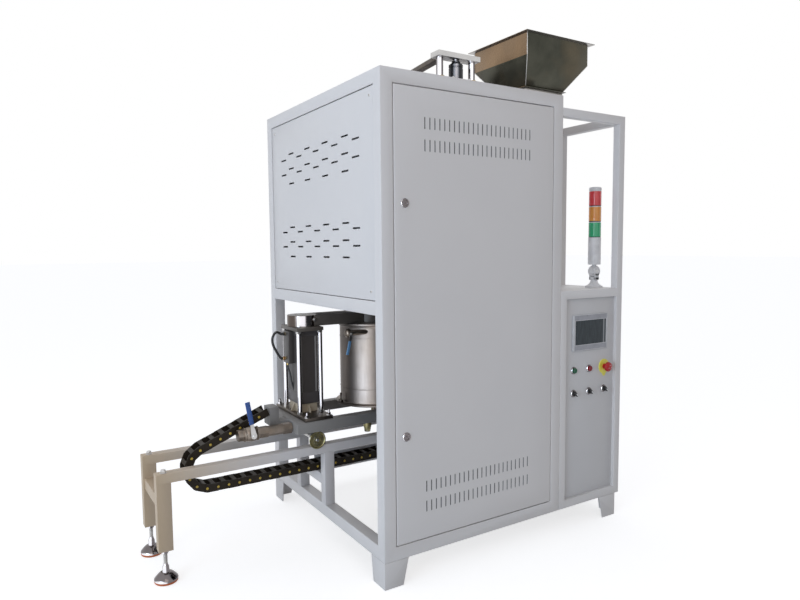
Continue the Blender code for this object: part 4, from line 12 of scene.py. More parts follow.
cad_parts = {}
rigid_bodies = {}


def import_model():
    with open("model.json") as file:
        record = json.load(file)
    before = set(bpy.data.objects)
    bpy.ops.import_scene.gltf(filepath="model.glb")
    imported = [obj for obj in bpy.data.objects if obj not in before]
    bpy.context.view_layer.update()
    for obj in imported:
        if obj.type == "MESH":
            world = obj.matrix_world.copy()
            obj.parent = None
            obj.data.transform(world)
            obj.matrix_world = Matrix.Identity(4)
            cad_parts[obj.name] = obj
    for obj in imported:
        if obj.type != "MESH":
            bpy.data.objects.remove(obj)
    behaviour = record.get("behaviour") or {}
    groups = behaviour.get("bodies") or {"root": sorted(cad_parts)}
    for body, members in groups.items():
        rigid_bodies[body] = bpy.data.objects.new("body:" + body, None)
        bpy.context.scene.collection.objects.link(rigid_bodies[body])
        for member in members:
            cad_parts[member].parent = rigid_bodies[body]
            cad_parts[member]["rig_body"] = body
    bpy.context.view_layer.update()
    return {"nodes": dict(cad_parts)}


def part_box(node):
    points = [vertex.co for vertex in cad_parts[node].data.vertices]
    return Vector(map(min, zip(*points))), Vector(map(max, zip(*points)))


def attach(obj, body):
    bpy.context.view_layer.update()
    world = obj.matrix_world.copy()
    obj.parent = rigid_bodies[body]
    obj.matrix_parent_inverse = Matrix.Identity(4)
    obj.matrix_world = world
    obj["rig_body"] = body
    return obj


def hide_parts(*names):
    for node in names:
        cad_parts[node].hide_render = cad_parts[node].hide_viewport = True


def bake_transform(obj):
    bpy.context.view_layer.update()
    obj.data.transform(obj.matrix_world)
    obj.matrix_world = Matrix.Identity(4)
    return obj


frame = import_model()

X, Y, Z = Vector((1, 0, 0)), Vector((0, 1, 0)), Vector((0, 0, 1))
SIDES = 64
FINE_SIDES = 32
SHEET = 0.002
TUBE_EDGE = 0.0022
SHEET_EDGE = 0.0006
BAR_EDGE = 0.0008
PLATE_EDGE = 0.001
BLOCK_EDGE = 0.0015
OVERRUN = 0.01
PROUD = 0.0002
NOTHING = 1e-9

# The cabinet's front left corner on the floor, in the model's coordinates
CORNER = Vector((-0.259, -0.480, 0))


def cabinet(x, y, z):
    """A place measured from the cabinet's front left corner."""
    return CORNER + Vector((x, y, z))


# Camera

CAMERA_PLACE = cabinet(-1.03333, -1.75800, 1.13441)
CAMERA_YAW = math.radians(32.0584)
CAMERA_PITCH = math.radians(-4.6697)
CAMERA_ROLL = math.radians(-0.4933)
CAMERA_LENS = 28.827


def make_camera():
    """The camera, where the photograph was taken from."""
    ahead = Vector((math.sin(CAMERA_YAW) * math.cos(CAMERA_PITCH),
                    math.cos(CAMERA_YAW) * math.cos(CAMERA_PITCH), math.sin(CAMERA_PITCH)))
    right = Vector((math.cos(CAMERA_YAW), -math.sin(CAMERA_YAW), 0))
    up = right.cross(ahead)
    rolled_right = right * math.cos(CAMERA_ROLL) + up * math.sin(CAMERA_ROLL)
    rolled_up = up * math.cos(CAMERA_ROLL) - right * math.sin(CAMERA_ROLL)
    data = bpy.data.cameras.new("camera")
    data.lens = CAMERA_LENS
    made = bpy.data.objects.new("camera", data)
    turn = Matrix((rolled_right, rolled_up, -ahead)).transposed().to_4x4()
    made.matrix_world = Matrix.Translation(CAMERA_PLACE) @ turn
    bpy.context.scene.collection.objects.link(made)
    bpy.context.scene.camera = made


# Materials

def put(tree, socket, value):
    """Link a socket, or set it to a number, a vector or a colour."""
    if isinstance(value, bpy.types.NodeSocket):
        tree.links.new(value, socket)
    elif socket.type == "RGBA":
        socket.default_value = (*value, 1)
    else:
        socket.default_value = value


def wire(tree, kind, output, inputs=(), **settings):
    """A new shader node with its settings and inputs; gives the output that is used."""
    node = tree.nodes.new("ShaderNode" + kind)
    for name, value in settings.items():
        setattr(node, name, value)
    for name, value in dict(inputs).items():
        put(tree, node.inputs[name], value)
    return node.outputs[output]


def ramp(tree, value, stops):
    """Colours, or greys, at places along a value."""
    node = tree.nodes.new("ShaderNodeValToRGB")
    elements = node.color_ramp.elements
    while len(elements) < len(stops):
        elements.new(0.5)
    for element, (position, colour) in zip(elements, stops):
        element.position = position
        grey = (colour,) * 3 if isinstance(colour, (int, float)) else colour
        element.color = (*grey, 1)
    put(tree, node.inputs["Fac"], value)
    return node.outputs["Color"]


def darker(colour, share):
    """A colour made darker."""
    return tuple(c * share for c in colour)


class Look:
    """A material in the making, with short names for the nodes that it uses."""

    def __init__(self, name, colour, roughness, metallic=0.0, **inputs):
        self.material = bpy.data.materials.new(name)
        self.material.use_nodes = True
        self.tree = self.material.node_tree
        self.place = wire(self.tree, "TexCoord", "Object")
        self.feed("Base Color", colour)
        self.feed("Roughness", roughness)
        self.feed("Metallic", metallic)
        for words, value in inputs.items():
            self.feed(words.replace("_", " "), value)

    def feed(self, name, value):
        """Set or link one of the shader's sockets."""
        put(self.tree, self.tree.nodes["Principled BSDF"].inputs[name], value)

    def noise(self, grain, detail=4.0, stretch=(1, 1, 1)):
        """Noise with grains of about the given size, made longer along each axis by its stretch."""
        scale = [1 / (grain * s) for s in stretch]
        vector = wire(self.tree, "Mapping", "Vector", {"Scale": scale, "Vector": self.place})
        return wire(self.tree, "TexNoise", "Fac", {"Scale": 1.0, "Detail": detail, "Vector": vector})

    def clouds(self, grain, detail, first, second, low=0.3, high=0.7):
        """Two colours that change into each other in clouds."""
        return ramp(self.tree, self.noise(grain, detail), [(low, first), (high, second)])

    def axis(self, name):
        """The place along X, Y or Z."""
        return wire(self.tree, "SeparateXYZ", name, {"Vector": self.place})

    def stretch(self, value, low, high, to_low=0.0, to_high=1.0):
        """A value moved from one range to another, and kept inside it."""
        return wire(self.tree, "MapRange", "Result", {
            "From Min": low, "From Max": high, "To Min": to_low, "To Max": to_high, "Value": value})

    def blend(self, share, first, second, mode="MIX"):
        """Two colours mixed by a share, which is a socket or a number."""
        inputs = {"Fac": share, "Color1": first, "Color2": second}
        return wire(self.tree, "MixRGB", "Color", inputs, blend_type=mode)

    def finish(self, tone, sheen=None, low=0.0, high=1.0, *reliefs):
        """Feed the colour, the roughness in a range, and reliefs with heights in metres."""
        self.feed("Base Color", tone)
        if sheen is not None:
            self.feed("Roughness", self.stretch(sheen, 0.25, 0.75, low, high))
        normal = {}
        for value, depth, strength in reliefs:
            inputs = {"Distance": depth, "Strength": strength, "Height": value, **normal}
            normal["Normal"] = wire(self.tree, "Bump", "Normal", inputs)
            self.feed("Normal", normal["Normal"])
        return self.material


def painted(name, colour, shade, roughness=0.42, fade=None):
    """Powder coat: an orange peel skin, with slow changes of tone and a little dust near the floor."""
    look = Look(name, colour, roughness)
    tone = look.clouds(0.35, 3, shade, colour)
    dust = look.stretch(look.axis("Z"), 0.02, 0.22, 0.45, 0.0)
    tone = look.blend(dust, tone, darker(colour, 0.80))
    if fade:
        # A tint towards one end of an axis: the track turns a warm beige towards its left end
        axis, tinted_end, plain_end, tint_colour = fade
        tone = look.blend(look.stretch(look.axis(axis), tinted_end, plain_end, 1.0, 0.0), tone, tint_colour)
    return look.finish(tone, look.noise(0.05, 3), roughness - 0.05, roughness + 0.06,
                       (look.noise(0.0022, 2), 0.00006, 1.0), (look.noise(0.25, 1), 0.0015, 0.25))


def brushed(name, colour, dark, roughness, stretch, tint=None, patch=0.12, fade=None):
    """Brushed steel: fine lines along the stretched axis over cloudy changes of tone, with painted shade that
    darkens it towards one side.
    """
    look = Look(name, colour, roughness, 1.0)
    lines = look.noise(0.0009, 2, stretch)
    tone = look.clouds(patch, 4, dark, colour, 0.28, 0.72)
    if tint:
        tone = look.blend(look.stretch(look.noise(patch * 1.7, 3), 0.45, 0.7, 0.0, 0.6), tone, tint)
    tone = look.blend(look.stretch(lines, 0.3, 0.7, 0.0, 0.22), tone, dark)
    if fade:
        # Painted shade: the tone darkens towards one end of an axis, where the bucket's left side turns away
        # from the light
        axis, shaded_end, plain_end, share = fade
        tone = look.blend(look.stretch(look.axis(axis), shaded_end, plain_end, share, 0.0), tone, PAINTED_SHADE_TONE)
    return look.finish(tone, lines, roughness - 0.07, roughness + 0.12, (lines, 0.00002, 1.0))


def polished(name, colour, roughness, smudge=0.05):
    """Ground steel, with faint smudges."""
    look = Look(name, colour, roughness, 1.0)
    tone = look.clouds(0.06, 3, darker(colour, 0.86), colour)
    return look.finish(tone, look.noise(0.02, 4), roughness, roughness + smudge)


def painted_highlight_bars(name, colour, dark, roughness, highlight_facing, spread, metallic=1.0):
    """Polished round bars: dark, with one painted highlight, a bright streak down the side that faces the
    window.
    """
    look = Look(name, colour, roughness, metallic)
    normal = wire(look.tree, "TexCoord", "Normal")
    # Painted highlight: faces turned towards one direction take the bright colour
    towards = wire(look.tree, "VectorMath", "Value", {0: normal, 1: Vector(highlight_facing).normalized()},
                   operation="DOT_PRODUCT")
    edge = math.cos(math.radians(spread))
    highlight_band = look.stretch(towards, edge - 0.07, edge + 0.03)
    tone = look.blend(highlight_band, look.clouds(0.05, 3, darker(dark, 0.8), dark), colour)
    return look.finish(tone, look.noise(0.02, 4), roughness, roughness + 0.06)


def plated(name, olive, gold, grey):
    """Yellow zinc plate: olive and gold clouds that shift over the piece, with grey wear."""
    look = Look(name, olive, 0.4, 1.0)
    clouds = ramp(look.tree, look.noise(0.018, 5), [(0.35, olive), (0.6, gold), (0.75, olive)])
    tone = look.blend(look.stretch(look.noise(0.008, 4), 0.55, 0.7), clouds, grey)
    return look.finish(tone, look.noise(0.01, 4), 0.30, 0.52, (look.noise(0.004, 3), 0.0001, 0.5))


def moulded(name, colour, roughness, gloss=0.5, grain=0.0012, depth=0.00004):
    """Moulded plastic or rubber with a fine grain and a little change of sheen."""
    look = Look(name, colour, roughness, Specular_IOR_Level=gloss)
    tone = look.clouds(0.03, 3, darker(colour, 0.82), colour)
    return look.finish(tone, look.noise(0.012, 3), roughness - 0.06, roughness + 0.08,
                       (look.noise(grain, 2), depth, 1.0))


def lens(name, colour, deep):
    """A signal light's lens: coloured clear plastic with ribs inside."""
    look = Look(name, colour, 0.16, Coat_Weight=0.6, Coat_Roughness=0.08, Subsurface_Weight=0.15,
                Subsurface_Scale=0.004)
    ribs = wire(look.tree, "TexWave", "Fac", {"Scale": 70.0, "Vector": look.place}, bands_direction="Z")
    tone = ramp(look.tree, ribs, [(0.1, deep), (0.8, colour)])
    return look.finish(tone, None, 0, 1, (ribs, 0.0004, 0.5))


def screen(name, colour, dark, bright, painted_glow_colour):
    """The touch panel's dark glass, with faint lit patches and a pale strip at the right, both painted glow
    of the screen.
    """
    look = Look(name, colour, 0.12, Specular_IOR_Level=0.25)
    low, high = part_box("hmi_screen")
    along = look.stretch(look.axis("X"), low.x, high.x)
    # Painted glow: a pale strip near the right edge of the glass
    painted_glow_strip = ramp(look.tree, along, [
        (0.0, 0.0), (0.90, 0.0), (0.915, 0.5), (0.945, 0.5), (0.96, 0.0), (1.0, 0.0)])
    grid = look.noise((high.x - low.x) / 14, 2, (0.35, 1, 3))
    tone = ramp(look.tree, grid, [(0.35, dark), (0.7, bright)])
    return look.finish(look.blend(painted_glow_strip, tone, painted_glow_colour), look.noise(0.02, 3), 0.08, 0.18)


def chalky(name, colour, shade, courses=False):
    """Refractory or fired clay: grainy and matt, with brick courses where they are asked for."""
    look = Look(name, colour, 0.92)
    tone = look.clouds(0.05, 6, shade, colour)
    if courses:
        upright = (math.radians(90), 0, math.radians(3))
        vector = wire(look.tree, "Mapping", "Vector", {"Rotation": upright, "Vector": look.place})
        bricks = wire(look.tree, "TexBrick", "Color", {
            "Scale": 4.4, "Mortar Size": 0.008, "Color1": (1, 1, 1), "Color2": (0.9, 0.9, 0.9),
            "Mortar": (0.55, 0.53, 0.50), "Vector": vector})
        tone = look.blend(0.8, tone, bricks, "MULTIPLY")
    return look.finish(tone, look.noise(0.01, 4), 0.85, 0.98, (look.noise(0.003, 5), 0.0006, 1.0))


# Every finish: its short name, its material's name, its colours, and what else its function asks for
# The dark colour of the painted shade on the bucket
PAINTED_SHADE_TONE = (0.03, 0.026, 0.024)
# The track's colour turns a warm beige towards its left end
TRACK_LEFT_END_TINT = ("X", CORNER.x - 0.62, CORNER.x - 0.15, (0.52, 0.40, 0.27))
# Painted shade on the bucket's left side: darkest at the left edge, fading out before the middle
BUCKET_PAINTED_SHADE = ("X", CORNER.x + 0.150, CORNER.x + 0.245, 0.90)
SLEEVE = (0.5, 0.003, 0.0001)
RUBBER = (0.5, 0.002, 0.0001)
FINISHES = (
    (painted, (
        ("coat", "powder_coat", (0.775, 0.757, 0.748), (0.75, 0.733, 0.728)),
        ("plate", "plate_coat", (0.67, 0.665, 0.67), (0.65, 0.645, 0.65)),
        ("track", "track_coat", (0.74, 0.72, 0.72), (0.70, 0.68, 0.68), 0.46, TRACK_LEFT_END_TINT),
        # Dark primer for inner faces, made darker as painted shade that shows through the vents and seams
        ("primer", "primer", (0.10, 0.10, 0.105), (0.075, 0.075, 0.08), 0.6),
        ("cart", "cart_coat", (0.27, 0.26, 0.25), (0.21, 0.205, 0.20), 0.5),
        ("pedestal", "pedestal_coat", (0.56, 0.475, 0.365), (0.44, 0.38, 0.27), 0.5),
        ("barrel", "barrel_coat", (0.075, 0.066, 0.062), (0.055, 0.050, 0.048), 0.40),
        ("head", "head_coat", (0.088, 0.080, 0.080), (0.066, 0.060, 0.060), 0.42),
        ("arm", "arm_coat", (0.115, 0.100, 0.086), (0.09, 0.078, 0.068), 0.42))),
    (brushed, (
        ("bucket", "bucket_steel", (0.74, 0.66, 0.61), (0.52, 0.45, 0.41), 0.43, (1, 1, 70),
         (0.80, 0.66, 0.54), 0.12, BUCKET_PAINTED_SHADE),
        ("hopper", "hopper_steel", (0.092, 0.090, 0.070), (0.045, 0.046, 0.036), 0.20, (1, 1, 90),
         (0.12, 0.095, 0.06), 0.10),
        # The hopper's left faces: a lighter, warmer copy of its steel, painted light from the window
        ("hopper_side", "hopper_side_steel", (0.30, 0.205, 0.125), (0.22, 0.150, 0.095), 0.22, (1, 1, 90),
         (0.27, 0.21, 0.15), 0.10),
        ("feeder", "feeder_steel", (0.50, 0.48, 0.45), (0.34, 0.32, 0.30), 0.3, (60, 60, 1)),
        ("pipe", "pipe_steel", (0.36, 0.31, 0.265), (0.20, 0.17, 0.145), 0.36, (70, 1, 1),
         (0.30, 0.23, 0.17), 0.04),
        ("dark", "dark_steel", (0.19, 0.165, 0.145), (0.11, 0.095, 0.085), 0.34, (40, 40, 1), None, 0.06),
        ("brown", "brown_steel", (0.17, 0.15, 0.135), (0.10, 0.088, 0.08), 0.42, (30, 30, 1),
         (0.19, 0.16, 0.12), 0.05))),
    (polished, (
        ("steel", "ground_steel", (0.62, 0.61, 0.60), 0.24, 0.16),)),
    # Painted highlights on round bars: the first colour is the painted highlight, the second the bar's own
    # dark tone
    (painted_highlight_bars, (
        ("chrome", "chrome", (0.92, 0.91, 0.95), (0.20, 0.18, 0.185), 0.09, (-0.67, -0.745, 0.0), 33),
        ("boss", "boss_steel", (0.95, 0.91, 0.93), (0.13, 0.105, 0.09), 0.16, (-0.20, -0.98, 0.0), 24),
        ("gloss_black", "gloss_black", (0.45, 0.46, 0.50), (0.016, 0.017, 0.022), 0.18,
         (-0.55, -0.83, 0.0), 13, 0.4))),
    (plated, (
        ("zinc", "yellow_zinc", (0.20, 0.19, 0.11), (0.36, 0.32, 0.16), (0.34, 0.34, 0.31)),
        ("brass", "brass", (0.48, 0.35, 0.14), (0.62, 0.47, 0.20), (0.40, 0.31, 0.16)))),
    (moulded, (
        ("black", "black_plastic", (0.018, 0.018, 0.019), 0.38),
        ("chain", "chain_plastic", (0.020, 0.014, 0.008), 0.5, 0.22),
        ("signal", "signal_plastic", (0.84, 0.84, 0.85), 0.36),
        ("rubber", "rubber", (0.025, 0.025, 0.026), 0.6, *RUBBER),
        ("pad", "orange_pad", (0.60, 0.15, 0.045), 0.6, *RUBBER),
        ("light_grey", "light_grey_plastic", (0.66, 0.665, 0.68), 0.36),
        ("lilac", "lilac_plastic", (0.40, 0.405, 0.44), 0.30),
        ("white", "white_plastic", (0.80, 0.80, 0.80), 0.35),
        ("yellow", "yellow_plastic", (0.98, 0.93, 0.13), 0.35),
        ("pin", "pin_yellow", (0.62, 0.44, 0.06), 0.35),
        ("blue", "blue_sleeve", (0.035, 0.105, 0.36), 0.34, *SLEEVE),
        ("sky", "sky_sleeve", (0.16, 0.36, 0.62), 0.34, *SLEEVE),
        ("green_button", "green_button", (0.006, 0.105, 0.048), 0.28, 0.3),
        ("red_button", "red_button", (0.25, 0.006, 0.016), 0.28, 0.3),
        ("stop_red", "stop_red", (0.50, 0.014, 0.018), 0.28, 0.35))),
    (lens, (
        ("green", "green_lens", (0.03, 0.56, 0.24), (0.01, 0.30, 0.12)),
        ("amber", "amber_lens", (0.95, 0.40, 0.07), (0.62, 0.20, 0.02)),
        ("red", "red_lens", (0.92, 0.06, 0.07), (0.50, 0.01, 0.02)))),
    # The screen's colours: its glass, dark patches, painted glow patches, and the painted glow strip
    (screen, (
        ("screen", "screen_glass", (0.030, 0.042, 0.050), (0.024, 0.034, 0.041), (0.044, 0.060, 0.068),
         (0.55, 0.56, 0.58)),)),
    (chalky, (
        ("lining", "refractory_brick", (0.80, 0.76, 0.68), (0.68, 0.63, 0.55), True),
        ("board", "refractory_board", (0.82, 0.79, 0.73), (0.74, 0.70, 0.63)),
        ("clay", "crucible_clay", (0.58, 0.50, 0.42), (0.42, 0.36, 0.30)),
        ("heater", "heater_rod", (0.16, 0.155, 0.155), (0.09, 0.088, 0.09)))),
)


# Shapes

def arc(centre, radii, start, end, steps):
    """Points on an ellipse round a centre, from one angle in degrees to another."""
    points = []
    for k in range(steps + 1):
        angle = math.radians(start + (end - start) * k / steps)
        points.append((centre[0] + radii[0] * math.cos(angle), centre[1] + radii[1] * math.sin(angle)))
    return points


def sized(profile, wide, tall=1):
    """A profile with its radii and its heights multiplied."""
    return [(radius * wide, height * tall) for radius, height in profile]


def facing(start, axis):
    """The matrix that puts +Z along an axis, from a point."""
    return Matrix.Translation(start) @ Vector(axis).to_track_quat("Z", "Y").to_matrix().to_4x4()


def rounded(bm, edges, edge, segments=2):
    """Round some edges of a shape."""
    if edge:
        bmesh.ops.bevel(bm, geom=edges, offset=edge, segments=segments, profile=0.5, affect="EDGES",
                        clamp_overlap=True)
    return bm


def block(low, high, edge=SHEET_EDGE, segments=2):
    """A box with rounded edges."""
    low, high = Vector(low), Vector(high)
    bm = bmesh.new()
    place = Matrix.Translation((low + high) / 2)
    bmesh.ops.create_cube(bm, size=1, matrix=place @ Matrix.Diagonal((*(high - low), 1)))
    return rounded(bm, bm.edges[:], edge, segments)


def slab(place, half_x, half_y, low, high, edge=SHEET_EDGE, segments=2):
    """A block round an upright line, from one height to another."""
    return block((place.x - half_x, place.y - half_y, low), (place.x + half_x, place.y + half_y, high),
                 edge, segments)


def skinned(rings, closed=False):
    """A solid whose skin joins each ring of places to the next; a ring can be a single place."""
    bm = bmesh.new()
    rings = [[bm.verts.new(place) for place in ring] for ring in rings]
    sides = max(len(ring) for ring in rings)
    for first, second in zip(rings, rings[1:] + (rings[:1] if closed else [])):
        for i in range(sides):
            j = (i + 1) % sides
            corners = list(dict.fromkeys((first[i % len(first)], first[j % len(first)],
                                          second[j % len(second)], second[i % len(second)])))
            if len(corners) > 2:
                bm.faces.new(corners)
    if not closed and len(rings[0]) > 1:
        bm.faces.new(rings[0][::-1])
        bm.faces.new(rings[-1])
    bmesh.ops.recalc_face_normals(bm, faces=bm.faces)
    return bm


def turned(start, axis, profile, sides=SIDES):
    """A turned solid: its profile of (radius, height) starts and ends on the axis, or closes on itself."""
    place = facing(start, axis)
    closed = profile[0] == profile[-1]
    rings = []
    for radius, height in (profile[:-1] if closed else profile):
        rings.append([place @ Vector((radius * math.cos(2 * math.pi * i / sides),
                                      radius * math.sin(2 * math.pi * i / sides), height))
                      for i in range(sides if radius > NOTHING else 1)])
    return skinned(rings, closed)


def ring(start, axis, bore, radius, length, sides=SIDES):
    """A plain ring, or a disc where there is no bore."""
    ends = [(bore, 0)] if bore else []
    return turned(start, axis, [(bore, 0), (radius, 0), (radius, length), (bore, length)] + ends, sides)


def rod(start, end, radius, edge=BAR_EDGE, sides=FINE_SIDES):
    """A round bar with chamfered ends."""
    start, end = Vector(start), Vector(end)
    length = (end - start).length
    edge = min(edge, radius / 2, length / 2)
    return turned(start, end - start, [
        (0, 0), (radius - edge, 0), (radius, edge), (radius, length - edge), (radius - edge, length),
        (0, length)], sides)


def bar(place, axis, low, high, radius, edge=BAR_EDGE, sides=FINE_SIDES):
    """A round bar along an axis through a place, from one distance along it to another."""
    place = Vector(place)
    return rod(place + axis * low, place + axis * high, radius, edge, sides)


def hexagon(start, axis, across, thickness, edge=BAR_EDGE):
    """A nut or a bolt head, across its flats, with its corners chamfered."""
    radius = across / math.sqrt(3)
    edge = min(edge, thickness / 2)
    return turned(start, axis, [(0, 0), (radius, 0), (radius, thickness - edge),
                                (radius - edge, thickness), (0, thickness)], 6)


def prism(outline, axis, low, high):
    """A flat outline pushed along X, Y or Z; its points give the other two coordinates in order."""
    order = {"X": (0, 1, 2), "Y": (1, 0, 2), "Z": (1, 2, 0)}[axis]
    return skinned([[[(depth, *point)[k] for k in order] for point in outline] for depth in (low, high)])


def swept(points, radius, sides=12):
    """A round tube along points."""
    points = [Vector(p) for p in points]
    side = None
    rings = []
    for i, point in enumerate(points):
        along = (points[min(i + 1, len(points) - 1)] - points[max(i - 1, 0)]).normalized()
        if side is None:
            side = along.orthogonal().normalized()
        side = (side - along * side.dot(along)).normalized()
        across = along.cross(side)
        rings.append([point + radius * (side * math.cos(2 * math.pi * k / sides)
                                        + across * math.sin(2 * math.pi * k / sides)) for k in range(sides)])
    return skinned(rings)


def smoothed(points, steps=8):
    """A smooth curve through given points."""
    points = [Vector(p) for p in points]
    ends = [points[0] * 2 - points[1]] + points + [points[-1] * 2 - points[-2]]
    out = []
    for a, b, c, d in zip(ends, ends[1:], ends[2:], ends[3:]):
        for k in range(steps):
            t = k / steps
            out.append(0.5 * (2 * b + (c - a) * t + (2 * a - 5 * b + 4 * c - d) * t ** 2
                              + (3 * b - 3 * c + d - a) * t ** 3))
    return out + points[-1:]


def cad_shape(node, edge):
    """A copy of a CAD node's shape, with its flat faces whole again and its sharp edges rounded."""
    bm = bmesh.new()
    bm.from_mesh(frame["nodes"][node].data)
    bmesh.ops.remove_doubles(bm, verts=bm.verts, dist=0.000002)
    bmesh.ops.dissolve_limit(bm, angle_limit=math.radians(0.5), verts=bm.verts, edges=bm.edges)
    sharp = [e for e in bm.edges if len(e.link_faces) == 2 and e.calc_face_angle(0) > math.radians(40)]
    return rounded(bm, sharp, edge)


def moved(shape, matrix):
    """A shape, turned and moved by a matrix."""
    bmesh.ops.transform(shape, matrix=matrix, verts=shape.verts)
    return shape


def set_along(start, *axes):
    """The matrix that puts X, Y and Z along three axes, from a point."""
    return Matrix.Translation(start) @ Matrix(axes).transposed().to_4x4()


def merge(bm, shape):
    """Move a shape into another one."""
    mesh = bpy.data.meshes.new("shape")
    shape.to_mesh(mesh)
    shape.free()
    bm.from_mesh(mesh)
    bpy.data.meshes.remove(mesh)


def placed(name, bm):
    """Turn a shape into an object of the scene."""
    mesh = bpy.data.meshes.new(name)
    bm.to_mesh(mesh)
    bm.free()
    made = bpy.data.objects.new(name, mesh)
    bpy.context.scene.collection.objects.link(made)
    return made


def cut_shape(base, cutters):
    """A base shape with all the cutters' shapes taken out of it."""
    objects = []
    for name, shapes in (("base", [base]), ("cutter", cutters)):
        bm = bmesh.new()
        for shape in shapes:
            merge(bm, shape)
        objects.append(placed(name, bm))
    modifier = objects[0].modifiers.new("cut", "BOOLEAN")
    modifier.operation = "DIFFERENCE"
    modifier.solver = "EXACT"
    modifier.object = objects[1]
    bpy.context.view_layer.update()
    graph = bpy.context.evaluated_depsgraph_get()
    result = bmesh.new()
    result.from_mesh(objects[0].evaluated_get(graph).to_mesh())
    for item in objects:
        bpy.data.objects.remove(item, do_unlink=True)
    return result


class Piece:
    """Collects shapes and their finishes, and becomes one object that rides on a body."""

    def __init__(self, name):
        self.name = name
        self.bm = bmesh.new()
        self.looks = []

    def index(self, look):
        """The number of a finish on this piece."""
        if look not in self.looks:
            self.looks.append(look)
        return self.looks.index(look)

    def add(self, look, *shapes):
        """Add shapes in one finish."""
        index = self.index(look)
        for shape in shapes:
            for face in shape.faces:
                face.material_index = index
            merge(self.bm, shape)
        return self

    def fit(self, place, axis, *rows):
        """Add shapes along an axis; a row has a finish, a shape, how far along it starts, and its sizes."""
        for look, shape, along, *sizes in rows:
            self.add(look, shape(place + axis * along, axis, *sizes))
        return self

    def repaint(self, look, chosen):
        """Give another finish to the faces that a test picks out."""
        index = self.index(look)
        for face in self.bm.faces:
            if chosen(face):
                face.material_index = index
        return self

    def done(self, body, *nodes, angle=35):
        """Make the object, let it ride on its body, and put it in the place of CAD nodes."""
        made = placed(self.name, self.bm)
        made.data.shade_smooth()
        made.data.set_sharp_from_angle(angle=math.radians(angle))
        for look in self.looks:
            made.data.materials.append(LOOKS[look])
        if body:
            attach(made, body)
        if nodes:
            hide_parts(*nodes)
        return made


def dress(node, look, edge, inward=None):
    """Put a copy with rounded edges in the place of a CAD node; faces that look inward are in dark primer,
    partly painted shade.
    """
    piece = Piece(node + "_dressed").add(look, cad_shape(node, edge))
    if inward:
        piece.repaint("primer", lambda face: face.normal.dot(inward) > 0.9)
    piece.done(frame["nodes"][node]["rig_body"], node)


def middle(node):
    """The middle of a CAD node's box."""
    low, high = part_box(node)
    return (low + high) / 2


# Cabinet

PANEL_SLOT_LENGTH = 0.054
PANEL_SLOT_HEIGHT = 0.0065
PANEL_COLUMNS = 9
PANEL_COLUMN_PITCH = 0.0794
PANEL_ROW_PITCH = 0.060
PANEL_STAGGER = 0.020
PANEL_GROUP_TOPS = (1.521, 1.222)
VENT_LEFT = 0.16702
VENT_RIGHT = 0.63498
VENT_COUNT = 24
VENT_WIDTH = 0.005
VENT_HEIGHT = 0.0395
VENT_ROWS = (0.232, 0.302, 1.447, 1.519)
DOOR_FOLD = 0.003
SEAM = 0.0022
CORNER_SCREW_INSET = 0.030
SCREW_RADIUS = 0.0045
SCREW_CROSS = (0.62, 0.14)
SCREW_PROFILE = ((0, 0), (1, 0), (1, 0.55), (0.8, 0.85), (0.4, 0.98), (0, 1))
SCREW_SUNK = 0.5
LOCKS = ("lock_upper", "lock_lower")
LOCK_HOLE = 0.8
LOCK_FACE = ((0, -0.1), (1, -0.1), (1, 0.10), (0.92, 0.19), (0.66, 0.2), (0.60, 0.08), (0.30, 0.08),
             (0.28, 0.16), (0, 0.16))


def stadium(centre_a, centre_b, length, width, upright):
    """The outline of a slot with round ends."""
    radius = width / 2
    reach = length / 2 - radius
    points = []
    for end, start in ((1, -90), (-1, 90)):
        for along, across in arc((end * reach, 0), (radius, radius), start, start + 180, 6):
            points.append((centre_a - across, centre_b + along) if upright
                          else (centre_a + along, centre_b + across))
    return points


def screw_head(place, axis, radius=SCREW_RADIUS):
    """A low cross-head screw."""
    reach, half = radius * SCREW_CROSS[0], radius * SCREW_CROSS[1]
    quarter = [(reach, -half), (reach, half), (half, half)]
    cross = []
    for _ in range(4):
        cross += quarter
        quarter = [(-y, x) for x, y in quarter]
    head = turned(Z * -radius * SCREW_SUNK, Z, sized(SCREW_PROFILE, radius, radius), FINE_SIDES)
    return moved(cut_shape(head, [prism(cross, "Z", 0, radius)]), facing(place, axis))


def add_screws(piece, node, axis, levels=2):
    """Screws along both upright edges of a panel, on the face that an axis points out of."""
    low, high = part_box(node)
    out = 0 if axis.x else 1
    for side in (low[1 - out] + CORNER_SCREW_INSET, high[1 - out] - CORNER_SCREW_INSET):
        for k in range(levels):
            rise = (high.z - low.z - 2 * CORNER_SCREW_INSET) * k / (levels - 1)
            spot = Z * (low.z + CORNER_SCREW_INSET + rise)
            spot[1 - out] = side
            spot[out] = (high if axis[out] > 0 else low)[out]
            piece.add("steel", screw_head(spot, axis))


def make_left_panel():
    """The slotted panel, with a screw near each corner."""
    low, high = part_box("left_panel")
    first = (low.y + high.y) / 2 - PANEL_COLUMN_PITCH * (PANEL_COLUMNS - 1) / 2
    cutters = []
    for top in PANEL_GROUP_TOPS:
        for column in range(PANEL_COLUMNS):
            start = top if column % 2 else top - PANEL_STAGGER
            for row in range(2 + column % 2):
                slot = stadium(first + column * PANEL_COLUMN_PITCH, start - row * PANEL_ROW_PITCH,
                               PANEL_SLOT_LENGTH, PANEL_SLOT_HEIGHT, False)
                cutters.append(prism(slot, "X", low.x - OVERRUN, high.x + OVERRUN))
    seam = Vector((0, SEAM, SEAM))
    piece = Piece("left_panel_sheet").add("coat", cut_shape(block(low + seam, high - seam), cutters))
    add_screws(piece, "left_panel", -X)
    # Inner face: dark primer, partly painted shade
    piece.repaint("primer", lambda face: face.normal.x > 0.9)
    piece.done("frame", "left_panel")


